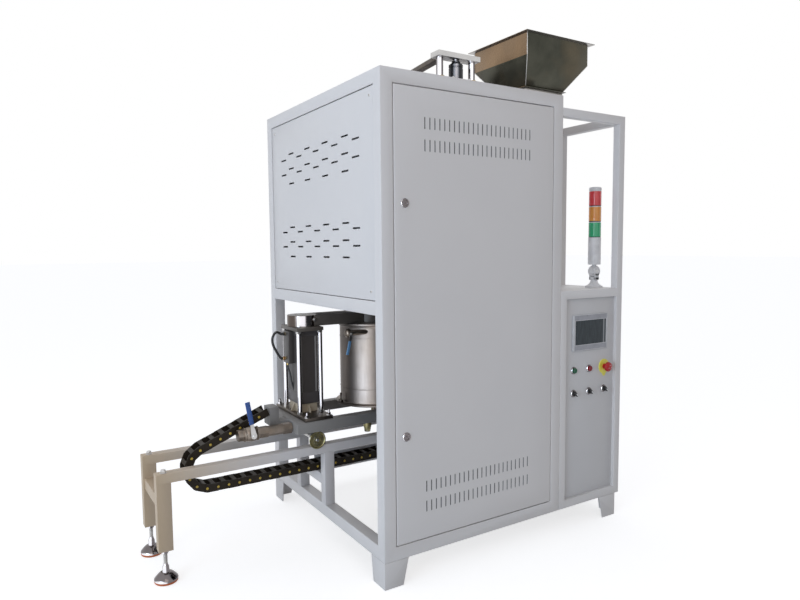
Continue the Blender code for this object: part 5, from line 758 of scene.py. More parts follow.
def make_door():
    """The front door: a folded sheet with four rows of upright slots."""
    low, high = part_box("front_door")
    cutters = [block(low + Vector((SHEET, SHEET, SHEET)),
                     (high.x - SHEET, high.y + OVERRUN, high.z - SHEET), DOOR_FOLD - SHEET / 2)]
    pitch = (VENT_RIGHT - VENT_LEFT - VENT_WIDTH) / (VENT_COUNT - 1)
    for row in VENT_ROWS:
        for i in range(VENT_COUNT):
            slot = stadium(CORNER.x + VENT_LEFT + VENT_WIDTH / 2 + i * pitch, row + VENT_HEIGHT / 2,
                           VENT_HEIGHT, VENT_WIDTH, True)
            cutters.append(prism(slot, "Y", low.y - OVERRUN, low.y + OVERRUN))
    for node in LOCKS:
        lock_low, lock_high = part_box(node)
        radius = (lock_high.x - lock_low.x) / 2
        spot = (middle(node).x, low.y, lock_high.z - radius)
        cutters.append(bar(spot, Y, -OVERRUN, OVERRUN, radius * LOCK_HOLE, 0))
    sheet = Piece("door_sheet").add("coat", cut_shape(block(low, high, DOOR_FOLD, 4), cutters))
    # Inner faces: dark primer, partly painted shade
    sheet.repaint("primer", lambda face: face.normal.y > 0.9)
    sheet.done("door", "front_door")


def make_lock(node):
    """A cam lock: a dished face with a key slot, a nut behind the sheet and the tongue."""
    low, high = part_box(node)
    radius = (high.x - low.x) / 2
    back = high.y - low.y
    place = Vector((middle(node).x, low.y, high.z - radius))
    face = turned(place + Y * radius * 0.2, -Y, sized(LOCK_FACE, radius, radius))
    slot = block(place + Vector((-radius * 0.05, -OVERRUN, -radius * 0.2)),
                 place + Vector((radius * 0.05, radius * 0.15, radius * 0.2)), 0)
    piece = Piece(node + "_fine").add("chrome", cut_shape(face, [slot]))
    piece.add("steel", bar(place, Y, radius * 0.25, back, radius * 0.68),
              hexagon(place + Y * radius * 0.45, Y, radius * 1.8, radius * 0.3),
              block((place.x - radius * 0.6, high.y - SHEET * 1.5, low.z),
                    (place.x + radius * 0.6, high.y, high.z - radius * 0.4)),
              hexagon(place + Y * (back - SHEET), Y, radius * 0.8, SHEET))
    piece.done(node, node)


def make_cabinet():
    """The frame, its panels and its feet."""
    dress("main_frame", "coat", TUBE_EDGE)
    make_left_panel()
    for node, inward in (("right_panel", -X), ("back_panel", -Y), ("top_panel", -Z)):
        dress(node, "coat", SHEET_EDGE, inward)
    for node in ("foot_front_left", "foot_back_left", "foot_back_right", "foot_front_right"):
        dress(node, "coat", SHEET_EDGE * 2)
    make_door()
    for node in LOCKS:
        make_lock(node)
    screws = Piece("panel_screws")
    add_screws(screws, "right_panel", X, 3)
    add_screws(screws, "back_panel", Y)
    screws.done("frame")


# Control tower

BEZEL_RADIUS = 0.0145
CONTROL_RADIUS = 0.0108
BEZEL_PROUD = 0.004
COLLAR_RADIUS = 0.030
COLLAR_POINT = ((-0.45, -0.8), (0.45, -0.8), (0.12, -1.32), (-0.12, -1.32))
HMI_STRIP_SIDE = 0.009
HMI_EDGE = 0.003
HMI_DEPTH = SHEET * 4
HMI_MARGIN = SHEET * 2
SELECTORS = ("selector_left", "selector_middle", "selector_right")
SELECTOR_BASE = 0.012
HANDLE_HALF = 0.0043
HANDLE_EDGE = 0.0016
MARK_HALF = 0.0026
# A push button's face: shares of its radius, and drops below its rim
BUTTON_FACE = ((1, 0.0012), (0.9, 0), (0.8, 0.0002), (0.4, 0.0011), (0, 0.0013))
# The emergency stop's skirt: shares of its radius, and drops below its top
MUSHROOM_SKIRT = ((0.82, 0.0175), (0.97, 0.015))
MUSHROOM_NECK_DROP = 0.019
MUSHROOM_DOME = 0.011
ARROW_SUNK = 0.0007
ARROW_HALF = 0.0035
ARROW_LINE = 0.0005


def make_console():
    """The console's sheets, the control panel's plate and its rings."""
    dress("tower_frame", "coat", TUBE_EDGE * 0.8)
    dress("console_box", "coat", SHEET_EDGE)
    low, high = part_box("control_panel")
    front = high.y - SHEET
    piece = Piece("control_plate").add("plate", block((low.x, front, low.z), high))
    bore, rim = CONTROL_RADIUS + PROUD, BEZEL_RADIUS * 1.04
    for node in ("start_button", "stop_button") + SELECTORS:
        place = middle(node)
        piece.add("chrome", turned((place.x, front, place.z), -Y, [
            (bore, -SHEET), (rim, -SHEET), (rim, SHEET / 4), (BEZEL_RADIUS, BEZEL_PROUD * 0.6),
            (BEZEL_RADIUS * 0.92, BEZEL_PROUD), (bore, BEZEL_PROUD), (bore, -SHEET)]))
    place = middle("estop_head")
    piece.add("yellow", turned((place.x, front, place.z), -Y, [
        (CONTROL_RADIUS, -SHEET), (COLLAR_RADIUS, -SHEET), (COLLAR_RADIUS, SHEET),
        (COLLAR_RADIUS * 0.97, SHEET * 1.5), (CONTROL_RADIUS, SHEET * 1.5), (CONTROL_RADIUS, -SHEET)]))
    point = [(place.x + COLLAR_RADIUS * x, place.z + COLLAR_RADIUS * z) for x, z in COLLAR_POINT]
    piece.add("yellow", prism(point, "Y", front - SHEET * 1.4, front - PROUD))
    piece.done("frame", "control_panel")


def make_touch_panel():
    """The touch panel: a rounded frame, darker strips above and below, and the glass."""
    low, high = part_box("hmi_housing")
    glass_low, glass_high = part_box("hmi_screen")
    opening = block((glass_low.x, low.y - OVERRUN, glass_low.z),
                    (glass_high.x, glass_high.y + PROUD, glass_high.z), 0)
    face = cut_shape(block(low, (high.x, low.y + HMI_DEPTH, high.z), HMI_EDGE, 4), [opening])
    piece = Piece("hmi_frame").add("light_grey", face)
    for z_low, z_high in ((low.z + HMI_MARGIN, glass_low.z - HMI_MARGIN / 2),
                          (glass_high.z + HMI_MARGIN / 2, high.z - HMI_MARGIN)):
        piece.add("lilac", block((low.x + HMI_STRIP_SIDE, low.y - PROUD, z_low),
                                 (high.x - HMI_STRIP_SIDE, low.y + SHEET, z_high), SHEET_EDGE / 4, 1))
    inset = Vector((HMI_EDGE * 2, 0, HMI_EDGE * 2))
    piece.add("black", block(low + Y * (HMI_DEPTH - SHEET) + inset, high - inset))
    piece.done("frame", "hmi_housing")
    glass = Piece("hmi_glass").add("screen", block(glass_low, glass_high, SHEET_EDGE / 3, 1))
    glass.done("frame", "hmi_screen")


def make_button(node, look):
    """A push button with a dished cap."""
    low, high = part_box(node)
    back = Vector((middle(node).x, high.y, middle(node).z))
    reach = high.y - low.y
    profile = [(0, reach / 2), (CONTROL_RADIUS, reach / 2)]
    profile += [(CONTROL_RADIUS * share, reach - drop) for share, drop in BUTTON_FACE]
    piece = Piece(node + "_cap").add(look, turned(back, -Y, profile))
    piece.add("black", bar(back, -Y, 0, reach * 0.55, CONTROL_RADIUS * 0.97)).done(node, node)


def make_selector(node):
    """A selector switch with a marked handle."""
    low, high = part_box(node)
    place = middle(node)
    base = low.y + SELECTOR_BASE
    piece = Piece(node + "_fine")
    piece.add("black", turned((place.x, high.y, place.z), -Y, [
        (0, 0), (CONTROL_RADIUS, 0), (CONTROL_RADIUS, high.y - base - PLATE_EDGE),
        (CONTROL_RADIUS * 0.9, high.y - base), (0, high.y - base)]))
    reach = CONTROL_RADIUS * 1.08
    handle = block((-reach, low.y, -HANDLE_HALF), (reach, base + SHEET, HANDLE_HALF), HANDLE_EDGE, 3)
    mark = block((-CONTROL_RADIUS * 0.2, low.y - PROUD, -MARK_HALF),
                 (CONTROL_RADIUS, low.y + SHEET, MARK_HALF), PROUD, 1)
    turn = Matrix.Translation((place.x, 0, place.z)) @ Matrix.Rotation(math.radians(45), 4, "Y")
    piece.add("black", moved(handle, turn)).add("white", moved(mark, turn)).done(node, node)


def make_buttons():
    """Push buttons, selector switches, and the emergency stop with its three turn arrows."""
    make_button("start_button", "green_button")
    make_button("stop_button", "red_button")
    for node in SELECTORS:
        make_selector(node)
    low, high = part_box("estop_head")
    radius = (high.x - low.x) / 2
    reach = high.y - low.y
    centre = middle("estop_head")
    back, face = centre.copy(), centre.copy()
    back.y, face.y = high.y, low.y + ARROW_SUNK
    neck = reach * 0.35
    profile = [(0, neck), (CONTROL_RADIUS, neck), (CONTROL_RADIUS, reach - MUSHROOM_NECK_DROP)]
    profile += [(radius * share, reach - drop) for share, drop in MUSHROOM_SKIRT]
    profile += arc((0, reach - MUSHROOM_DOME), (radius, MUSHROOM_DOME), 0, 90, 8)
    piece = Piece("estop_mushroom").add("stop_red", turned(back, -Y, profile))
    piece.add("black", bar(back, -Y, 0, reach * 0.4, CONTROL_RADIUS * 0.95))
    for k in range(3):
        angle = 2 * math.pi * k / 3 + math.pi / 2
        ray = Vector((math.cos(angle), 0, math.sin(angle)))
        side = Vector((-ray.z, 0, ray.x)) * ARROW_HALF
        tail = face + ray * radius * 0.30
        piece.add("white", swept([tail - side, face + ray * radius * 0.42, tail + side], ARROW_LINE, 6))
    piece.done("estop", "estop_head")


LIGHT_KNUCKLE_RISE = 0.068
LIGHT_WEB = 0.0115
LIGHT_WEB_RISE = 0.030
LIGHT_EAR_RADIUS = 0.020
LIGHT_EAR_INNER = 0.0093
LIGHT_EAR_OUTER = 0.0172
LIGHT_EAR_RISE = 0.032
LIGHT_SLOT_DROP = 0.0245
LIGHT_PIN_RADIUS = 0.004
LIGHT_NUT = (0.008, 0.0015)
LIGHT_SCREW_RISE = 0.0066
LIGHT_SCREW_RADIUS = 0.003
LIGHT_TUBE = 0.114
LIGHT_TUBE_EASE = 0.003
# The foot's shares of its radius, and heights
LIGHT_FOOT = ((0, 0), (1, 0), (1, 0.0045), (0.95, 0.0064), (0.80, 0.0085), (0.60, 0.0135), (0.45, 0.021),
              (0.385, 0.0285), (0.40, 0.033), (0, 0.033))
LENS_HEIGHT = 0.0647
LENS_RING = 0.0035
LENS_PROFILE = ((0, 0.003), (0.985, 0.003), (1, 0.005), (1, 0.0595), (0.985, 0.0615), (0, 0.0615))
LIGHT_CAP = ((0, 0), (1, 0), (1, 0.45), (0.97, 0.75), (0.88, 0.95), (0.7, 1), (0, 1))


def make_light_foot():
    """The signal light's flared foot with the fork of its knuckle, its pin and its screws."""
    low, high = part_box("light_base")
    place = middle("light_base")
    place.z = low.z
    radius = (high.x - low.x) / 2
    knuckle = place + Z * LIGHT_KNUCKLE_RISE
    thickness = LIGHT_EAR_OUTER - LIGHT_EAR_INNER
    base = Piece("light_foot").add("signal", turned(place, Z, sized(LIGHT_FOOT, radius)), slab(
        place, LIGHT_WEB, LIGHT_EAR_OUTER, low.z + LIGHT_WEB_RISE, knuckle.z - LIGHT_SLOT_DROP, SHEET, 3))
    for side in (-Y, Y):
        base.add("signal", turned(knuckle + side * LIGHT_EAR_INNER, side, [
            (0, 0), (LIGHT_EAR_RADIUS, 0), (LIGHT_EAR_RADIUS, thickness - SHEET),
            (LIGHT_EAR_RADIUS - SHEET, thickness), (LIGHT_EAR_RADIUS * 0.62, thickness),
            (LIGHT_EAR_RADIUS * 0.55, thickness - SHEET / 2), (0, thickness - SHEET / 2)]))
        base.add("signal", slab(place + side * (LIGHT_EAR_INNER + thickness / 2), LIGHT_WEB, thickness / 2,
                                low.z + LIGHT_EAR_RISE, knuckle.z, BLOCK_EDGE))
        base.add("steel", hexagon(knuckle + side * (LIGHT_EAR_OUTER - LIGHT_NUT[1]), side, *LIGHT_NUT))
    reach = LIGHT_EAR_INNER + SHEET
    base.add("steel", bar(knuckle, Y, -reach, reach, LIGHT_PIN_RADIUS))
    for k in range(3):
        angle = 2 * math.pi * k / 3 + 0.5
        spot = place + (X * math.cos(angle) + Y * math.sin(angle)) * radius * 0.86
        base.add("steel", screw_head(spot + Z * LIGHT_SCREW_RISE, Z, LIGHT_SCREW_RADIUS))
    base.done("frame", "light_base")


def make_signal_light():
    """The signal light: foot, tube, and three ribbed lenses between rings."""
    make_light_foot()
    axis = middle("light_base")
    axis.z = 0
    low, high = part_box("light_body")
    radius = (high.x - low.x) / 2
    wide = radius + PROUD
    Piece("light_tube").add("signal", cad_shape("light_body", BAR_EDGE), turned(
        axis + Z * (high.z - LIGHT_TUBE), Z, [
            (0, -PROUD), (radius * 0.9, -PROUD), (wide, LIGHT_TUBE_EASE), (wide, LIGHT_TUBE - SHEET),
            (radius * 0.96, LIGHT_TUBE + PROUD), (0, LIGHT_TUBE + PROUD)])).done("light", "light_body")
    for node, look in (("lens_green", "green"), ("lens_amber", "amber"), ("lens_red", "red")):
        low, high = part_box(node)
        foot, radius = axis + Z * low.z, (high.x - low.x) / 2
        piece = Piece(node + "_fine").add(look, turned(foot, Z, sized(LENS_PROFILE, radius)))
        for finish, rise in (("rubber", 0), ("signal", LENS_HEIGHT - LENS_RING)):
            piece.add(finish, ring(foot + Z * rise, Z, 0, radius * 0.97, LENS_RING))
        cap = high.z - low.z - LENS_HEIGHT
        if cap > SHEET:
            piece.add("signal", turned(foot + Z * LENS_HEIGHT, Z, sized(LIGHT_CAP, radius, cap)))
        piece.done("light", node)


# Roof

# The hopper's corners: rim and outlet in the cabinet's plan, and the heights where its faces bend
HOPPER_SIDES = ((0.663, 0.708), (0.983, 0.905))
HOPPER_ENDS = ((0.050, 0.106), (0.358, 0.265))
HOPPER_OUTLET_Z = 1.744
HOPPER_BEND_Z = 1.844
HOPPER_LIP = 0.02
HOPPER_EDGE = 0.0004
HOPPER_SEAM = 0.0014
HOPPER_SEAM_DROP = 0.003
LIFT_PLATE = 0.008
COLUMN_SIDEWAYS = 0.069
BOLT_SIDEWAYS = 0.034
BOLT_SHARE = 0.36
CYLINDER = (
    (0.0086, 0.004), (0.025, 0.004), (0.025, 0.046), (0.0235, 0.0475), (0.0235, 0.0495), (0.025, 0.051),
    (0.025, 0.0585), (0.0225, 0.0605), (0.015, 0.066), (0.0145, 0.070), (0.0132, 0.0722), (0.0086, 0.0722),
    (0.0086, 0.004))
GLAND_RISE = 0.058
GLAND = (0.0086, 0.0125, 0.0122)
COLUMN_BUSH = ((0.0126, 0), (0.018, 0), (0.018, 0.012), (0.0165, 0.0138), (0.0126, 0.0138), (0.0126, 0))
COLUMN_CAP = ((0, 0), (0.0125, 0), (0.0125, 0.0035), (0.0105, 0.0042), (0, 0.0042))
ROOF_BOLT = (("steel", hexagon, 0, 0.010, 0.0055), ("steel", bar, 0, 0, 0.0085, 0.003))
HEAD_THICKNESS = 0.018
HEAD_HALF = 0.025
COLUMN_RADIUS = 0.012
PISTON_RADIUS = 0.008
PISTON_RISE = 0.0026
BAR_SUNK = 0.004
ROOF_ARM_X = 0.300
ROOF_ARM_HALF = (0.015, 0.008)
ARM_HUB = ((0, 0), (0.0232, 0), (0.024, 0.001), (0.024, 0.0185), (0.0225, 0.020), (0, 0.020))
STOPPER_TIP = ((0, 0), (0.45, 0.0015), (0.85, 0.008), (1, 0.018))


def make_hopper():
    """The hopper's folded sheets, with bright seams at the corners and painted light on the left faces."""
    piece = Piece("hopper_sheets").add("hopper", cad_shape("hopper", HOPPER_EDGE))
    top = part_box("hopper")[1].z
    # Painted light: the faces that look left get the lighter, warmer copy of the steel
    piece.repaint("hopper_side", lambda face: face.normal.x < -0.95)
    piece.repaint("feeder", lambda face: face.calc_center_median().z > top - HOPPER_LIP
                  and face.normal.z < -0.5)
    for x, foot_x in HOPPER_SIDES:
        for y, foot_y in HOPPER_ENDS:
            piece.add("steel", swept([cabinet(foot_x, foot_y, HOPPER_OUTLET_Z), cabinet(x, y, HOPPER_BEND_Z),
                                      cabinet(x, y, top - HOPPER_SEAM_DROP)], HOPPER_SEAM, 8))
    piece.done("frame", "hopper")
    dress("feeder_housing", "feeder", SHEET_EDGE)
    dress("feed_screw", "steel", 0)
    dress("feeder_motor", "dark", SHEET_EDGE)


def make_stopper_lift():
    """The guided cylinder on the roof, with its plate, bushes and bolts."""
    low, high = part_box("stopper_cylinder")
    foot = middle("stopper_cylinder")
    foot.z = low.z + LIFT_PLATE
    sunk = foot - Z * SHEET
    piece = Piece("stopper_cylinder_fine")
    piece.add("feeder", block(low, (high.x, high.y, foot.z), SHEET_EDGE * 2))
    piece.add("gloss_black", turned(sunk, Z, CYLINDER))
    piece.add("steel", ring(foot + Z * GLAND_RISE, Z, *GLAND))
    for side in (-X, X):
        piece.add("brass", turned(sunk + side * COLUMN_SIDEWAYS, Z, COLUMN_BUSH))
        for out in (-Y, Y):
            spot = foot + side * BOLT_SIDEWAYS + out * (high.y - low.y) * BOLT_SHARE
            piece.fit(spot, Z, *ROOF_BOLT)
    piece.done("frame", "stopper_cylinder")
    make_crosshead(foot)


def make_crosshead(foot):
    """The crosshead with its columns, its arm to the furnace and the stopper rod."""
    low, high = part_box("crosshead")
    top = high.z - SHEET
    bottom = top - HEAD_THICKNESS
    head = Piece("crosshead_fine")
    head.add("steel", block((low.x, foot.y - HEAD_HALF, bottom), (high.x, foot.y + HEAD_HALF, top),
                            BLOCK_EDGE))
    level = Vector((foot.x, foot.y, 0))
    for side in (-X, X):
        column = level + side * COLUMN_SIDEWAYS
        head.add("chrome", bar(column, Z, low.z, top - BAR_SUNK, COLUMN_RADIUS),
                 turned(column + Z * (top - SHEET), Z, COLUMN_CAP))
    head.add("chrome", bar(level, Z, foot.z + PISTON_RISE, bottom + BAR_SUNK, PISTON_RADIUS))
    rod_low, rod_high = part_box("stopper_rod")
    furnace = middle("stopper_rod")
    start = Vector((CORNER.x + ROOF_ARM_X, foot.y, top - HEAD_THICKNESS / 2))
    reach = Vector((furnace.x, furnace.y, start.z)) - start
    along = reach.normalized()
    half_y, half_z = ROOF_ARM_HALF
    arm = block((0, -half_y, -half_z), (reach.length, half_y, half_z), BLOCK_EDGE)
    head.add("brown", moved(arm, set_along(start, along, Z.cross(along), Z)))
    head.add("brown", turned((furnace.x, furnace.y, bottom), Z, ARM_HUB))
    head.done("crosshead", "crosshead")
    radius, length = (rod_high.x - rod_low.x) / 2, rod_high.z - rod_low.z
    profile = sized(STOPPER_TIP, radius) + [(radius, length), (0, length)]
    Piece("stopper_rod_fine").add("clay", turned((furnace.x, furnace.y, rod_low.z), Z, profile)).done(
        "crosshead", "stopper_rod")


# Furnace

CRUCIBLE_WALL = 0.012
CRUCIBLE_DEPTH = 0.270
CRUCIBLE_LIP = 0.003
CRUCIBLE_HEEL = 0.010
SPOUT_RADIUS = 0.030
SPOUT_BORE = 0.009
SPOUT_CHAMFER = 0.004
HEATER_HALF = 0.030
HEATER_RADIUS = 0.006
# Collars on a heater's legs, from the furnace's cover and from the heater's top
HEATER_SEAT = ("board", bar, 0, 0.0003, 0.0123, 0.015)
HEATER_CAP = ("steel", bar, 0, -0.022, -0.006, 0.0085)
PROBE_RADIUS = 0.005
PROBE_NECK = -0.036
PROBE_HEAD = (("steel", bar, 0, PROBE_NECK, -0.010, 0.016), ("steel", bar, 0, -0.012, 0, 0.020, 0.003))


def make_crucible():
    """The crucible with its outlet spout."""
    low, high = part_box("crucible")
    place = middle("crucible")
    place.z = 0
    outer = (high.x - low.x) / 2
    inner = outer - CRUCIBLE_WALL
    bottom = high.z - CRUCIBLE_DEPTH
    floor = bottom + CRUCIBLE_WALL
    lip, heel = CRUCIBLE_LIP, CRUCIBLE_HEEL
    Piece("crucible_fine").add("clay", turned(place, Z, [
        (SPOUT_BORE, low.z), (SPOUT_RADIUS * 0.9, low.z), (SPOUT_RADIUS, low.z + SPOUT_CHAMFER),
        (SPOUT_RADIUS, bottom), (outer * 0.94, bottom), (outer, bottom + heel), (outer, high.z - lip),
        (outer - lip, high.z), (inner + lip, high.z), (inner, high.z - lip), (inner, floor + CRUCIBLE_WALL),
        (inner - CRUCIBLE_WALL, floor), (SPOUT_BORE * 2, floor), (SPOUT_BORE, floor - lip),
        (SPOUT_BORE, low.z)])).done("frame", "crucible")


def make_furnace():
    """The furnace's shell, lining, cover, crucible, heaters and thermocouple."""
    dress("furnace_shell", "coat", SHEET_EDGE)
    dress("furnace_lining", "lining", SHEET)
    dress("furnace_cover", "board", SHEET)
    make_crucible()
    cover_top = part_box("furnace_cover")[1].z
    for node in ("heater_left", "heater_right"):
        low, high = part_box(node)
        place = middle(node)
        near, far = place.y - HEATER_HALF, place.y + HEATER_HALF
        bend = low.z + HEATER_HALF
        loop = [(near, high.z), (near, bend)]
        loop += arc((place.y, bend + HEATER_RADIUS), (HEATER_HALF, HEATER_HALF), 180, 360, 12)[1:-1]
        loop += [(far, bend), (far, high.z)]
        piece = Piece(node + "_fine")
        piece.add("heater", swept([(place.x, y, z) for y, z in loop], HEATER_RADIUS, 20))
        for y in (near, far):
            for row, level in ((HEATER_SEAT, cover_top), (HEATER_CAP, high.z)):
                piece.fit(Vector((place.x, y, level)), Z, row)
        piece.done("frame", node)
    low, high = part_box("thermocouple")
    top = middle("thermocouple")
    top.z = high.z
    piece = Piece("thermocouple_fine")
    piece.add("clay", bar(top, Z, low.z - high.z, PROBE_NECK, PROBE_RADIUS))
    piece.fit(top, Z, *PROBE_HEAD).done("frame", "thermocouple")


# Track

RAIL_YS = (0.468, 0.708)
RAIL_TOP = 0.379
STOP_BOLT_X = -0.594
STOP_BOLT = (("steel", hexagon, 0, 0.0170, 0.0075, 0.001), ("steel", bar, 0, 0, 0.0122, 0.0082),
             ("steel", ring, 0, 0, 0.0115, 0.0014, FINE_SIDES))
FOOT_PAD = ((0, 0), (0.0375, 0), (0.039, 0.002), (0.0385, 0.0085), (0, 0.0085))
FOOT_RIM = ((0, 0.008), (0.0395, 0.008), (0.040, 0.0105), (0.0394, 0.0135))
FOOT_NECK = ((0.0115, 0.040), (0.0108, 0.052), (0.0075, 0.060), (0.007, 0.064), (0, 0.064))
FOOT_DOME = (-0.0269, 0.0205)
FOOT_NUT = ("chrome", hexagon, 0.099, 0.019, 0.0105, 0.001)
THREAD_Z = 0.060
THREAD_RADIUS = 0.0068
THREAD_ROOT = 0.86
THREAD_PITCH = 0.0015
THREAD_COUNT = 32


def make_track():
    """The track's frame, its stop bolts and its two levelling feet with threaded stems."""
    piece = Piece("track_dressed").add("track", cad_shape("track_frame", TUBE_EDGE * 0.6))
    for y in RAIL_YS:
        piece.fit(cabinet(STOP_BOLT_X, y, RAIL_TOP), Z, *STOP_BOLT)
    piece.done("frame", "track_frame")
    (rim_x, rim_z), (reach, rise) = FOOT_RIM[-1], FOOT_DOME
    dome = [(rim_x + reach * k / 8, rim_z + rise * math.sin(math.pi / 2 * k / 8)) for k in range(1, 9)]
    root = THREAD_RADIUS * THREAD_ROOT
    thread = [(0, 0), (root, 0)]
    for k in range(THREAD_COUNT):
        thread += [(THREAD_RADIUS, (k + 0.5) * THREAD_PITCH), (root, (k + 1) * THREAD_PITCH)]
    thread.append((0, THREAD_COUNT * THREAD_PITCH))
    for node in ("levelling_foot_near", "levelling_foot_far"):
        centre = middle(node)
        centre.z = 0
        Piece(node + "_fine").fit(
            centre, Z, ("pad", turned, 0, FOOT_PAD), ("chrome", turned, 0, [*FOOT_RIM, *dome, *FOOT_NECK]),
            ("steel", turned, THREAD_Z, thread, 24), FOOT_NUT).done(node, node)


# Cart

AXLE_XS = (-0.031, 0.400)
LUG_Z = 0.440
LUG_BOLT = ((0, 0), (0.013, 0), (0.013, 0.004), (0.008, 0.006), (0.008, 0.009), (0, 0.009))
KNOB_PLACE = (0.190, 0.450, 0.402)
KNOB = ((0, -PROUD), (0.0100, -PROUD), (0.0122, 0.002), (0.0135, 0.013), (0.0162, 0.024), (0.0165, 0.038),
        (0, 0.038))
# A wheel from its outer face inwards: hub, dish, flange and tread
WHEEL = ((0, -0.0035), (0.010, -0.0035), (0.0115, -0.0005), (0.0150, -0.0005), (0.0165, -0.0030),
         (0.0275, -0.0030), (0.0300, 0), (0.033, 0), (0.034, -0.001), (0.034, -0.0035), (0.033, -0.0045),
         (0.025, -0.0045), (0.024, -0.0055), (0.024, -0.0240), (0.023, -0.0250), (0.008, -0.0250),
         (0, -0.0250))
AXLE_RADIUS = 0.008
AXLE_INSET = 0.02
WHEEL_PARTS = (("zinc", turned, 0, WHEEL), ("steel", hexagon, -0.0036, 0.0125, 0.0034, 0.0006),
               ("steel", bar, 0, -0.0030, 0, 0.0038, 0.0006, 20))


def make_cart():
    """The cart's frame, guide knob and lug bolts, and its two sets of flanged wheels with axle nuts."""
    piece = Piece("cart_dressed").add("cart", cad_shape("cart_frame", TUBE_EDGE * 0.6))
    piece.add("zinc", turned(cabinet(*KNOB_PLACE), Z, KNOB))
    for x in AXLE_XS:
        for y in RAIL_YS:
            piece.add("zinc", turned(cabinet(x, y, LUG_Z), -Z, LUG_BOLT, FINE_SIDES))
    piece.done("cart", "cart_frame")
    for node in ("wheelset_left", "wheelset_right"):
        low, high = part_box(node)
        centre = middle(node)
        half = (high.y - low.y) / 2
        piece = Piece(node + "_fine")
        for side in (-Y, Y):
            piece.fit(centre + side * half, side, *WHEEL_PARTS)
        piece.add("steel", bar(centre, Y, AXLE_INSET - half, half - AXLE_INSET, AXLE_RADIUS)).done(node, node)


# Lift

LIFT_X = -0.024
TRACK_MID = 0.588
BUCKET_X = 0.290
LIFT_BASE_THICKNESS = 0.013
PEDESTAL_TOP = 0.528
PEDESTAL_HALVES = (0.038, 0.050)
PEDESTAL_EDGE = 0.003
GUSSET_REACH = 0.017
LIFT_PLATE_THICKNESS = 0.014
LIFT_PLATE_HALVES = (0.056, 0.081)
TIE_ROD_SIDEWAYS = 0.045
TIE_ROD_FORWARD = 0.069
TIE_ROD_RADIUS = 0.009
BASE_BOLT = (("steel", ring, 0, 0, 0.0105, 0.0018, FINE_SIDES),
             ("chrome", hexagon, 0.0018, 0.015, 0.008, 0.001),
             ("chrome", bar, 0, 0, 0.021, 0.0042))
BARREL_GAP = 0.0003
BARREL_HALVES = (0.043, 0.058)
BARREL_INSET = 0.0012
BARREL_HEAD = 0.045
BARREL_HEAD_EDGE = 0.0025
BARREL_EDGE = 0.004
BARREL_BAND = 0.007
AIR_BLOCK_LOW = (-0.089, 0.572, 0.685)
AIR_BLOCK_HIGH = (-0.065, 0.626, 0.812)
HOSE_Y = 0.608
HOSE_TOP_Z = 0.800
HOSE_BOTTOM_Z = 0.703
HOSE_RADIUS = 0.005
FITTING_NUT = (0.0122, 0.006)
FITTING_RADIUS = 0.0068
FITTING_RING = (0.0055, 0.0074, 0.003)
FITTING_RING_IN = 0.0015
# The feed hose, from the air block's face and then from the barrel's side: along X, along Y, and the height
FEED_TOP = ((0.012, 0.004, 0.689), (0.011, 0.004, 0.667))
FEED_BOTTOM = ((-0.006, -0.006, 0.640), (-0.004, -0.014, 0.610), (0.004, -0.021, 0.575))
FEED_RADIUS = 0.0035
FEED_FERRULE = (0.688, 0.674, 0.0052)
ARM_THICKNESS = 0.0437
ARM_HALF_WIDTH = 0.050
ARM_START = 0.030
ARM_END = 0.052
BOSS_RADIUS = 0.058
LIFT_RING = (0.048, 0.078)
LIFT_PISTON_RADIUS = 0.015
LIFT_NUT = (0.030, SHEET + PROUD)
ARM_BOLT_RISE = 0.026
ARM_BOLT = (("steel", hexagon, 0, 0.013, 0.006), ("steel", bar, 0, 0, 0.009, 0.004))
COVER_BORE = 0.045


def make_lift():
    """The lift column: base plate with bolts, pedestal with gussets, tie rods and top plate."""
    low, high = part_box("lift_frame")
    base_top = low.z + LIFT_BASE_THICKNESS
    plate_low = high.z - LIFT_PLATE_THICKNESS
    centre = cabinet(LIFT_X, TRACK_MID, 0)
    piece = Piece("lift_frame_fine").add("brown", block(low, (high.x, high.y, base_top), PLATE_EDGE))
    piece.add("pedestal", slab(centre, *PEDESTAL_HALVES, base_top - SHEET, PEDESTAL_TOP, PEDESTAL_EDGE, 3))
    width, depth = PEDESTAL_HALVES
    for axis, half, across, beside in (("Y", width, centre.x, centre.y), ("X", depth, centre.y, centre.x)):
        for side in (-1, 1):
            outline = [(across + side * out, z) for out, z in (
                (half - SHEET, base_top - SHEET), (half + GUSSET_REACH, base_top - SHEET),
                (half + GUSSET_REACH, base_top + SHEET), (half, PEDESTAL_TOP - SHEET),
                (half - SHEET, PEDESTAL_TOP - SHEET))]
            piece.add("pedestal", prism(outline, axis, beside - SHEET * 1.5, beside + SHEET * 1.5))
    piece.add("arm", slab(centre, *LIFT_PLATE_HALVES, plate_low, high.z, BLOCK_EDGE))
    inset = TIE_ROD_RADIUS * 1.35
    corner = Vector((high.x - centre.x - inset, high.y - centre.y - inset, 0))
    for x in (-1, 1):
        for y in (-1, 1):
            spot = centre + Vector((x * TIE_ROD_SIDEWAYS, y * TIE_ROD_FORWARD, 0))
            piece.add("chrome", bar(spot, Z, base_top - SHEET, plate_low + SHEET, TIE_ROD_RADIUS))
            for start, axis in ((base_top, Z), (plate_low, -Z)):
                piece.add("steel", hexagon(spot + Z * start, axis, TIE_ROD_RADIUS * 2.1, TIE_ROD_RADIUS,
                                           PLATE_EDGE))
            piece.fit(centre + Vector((x * corner.x, y * corner.y, base_top)), Z, *BASE_BOLT)
    piece.done("cart", "lift_frame")
    make_barrel(centre, PEDESTAL_TOP + BARREL_GAP, plate_low - BARREL_GAP)
    make_lift_arm(centre, cabinet(BUCKET_X, TRACK_MID, 0))


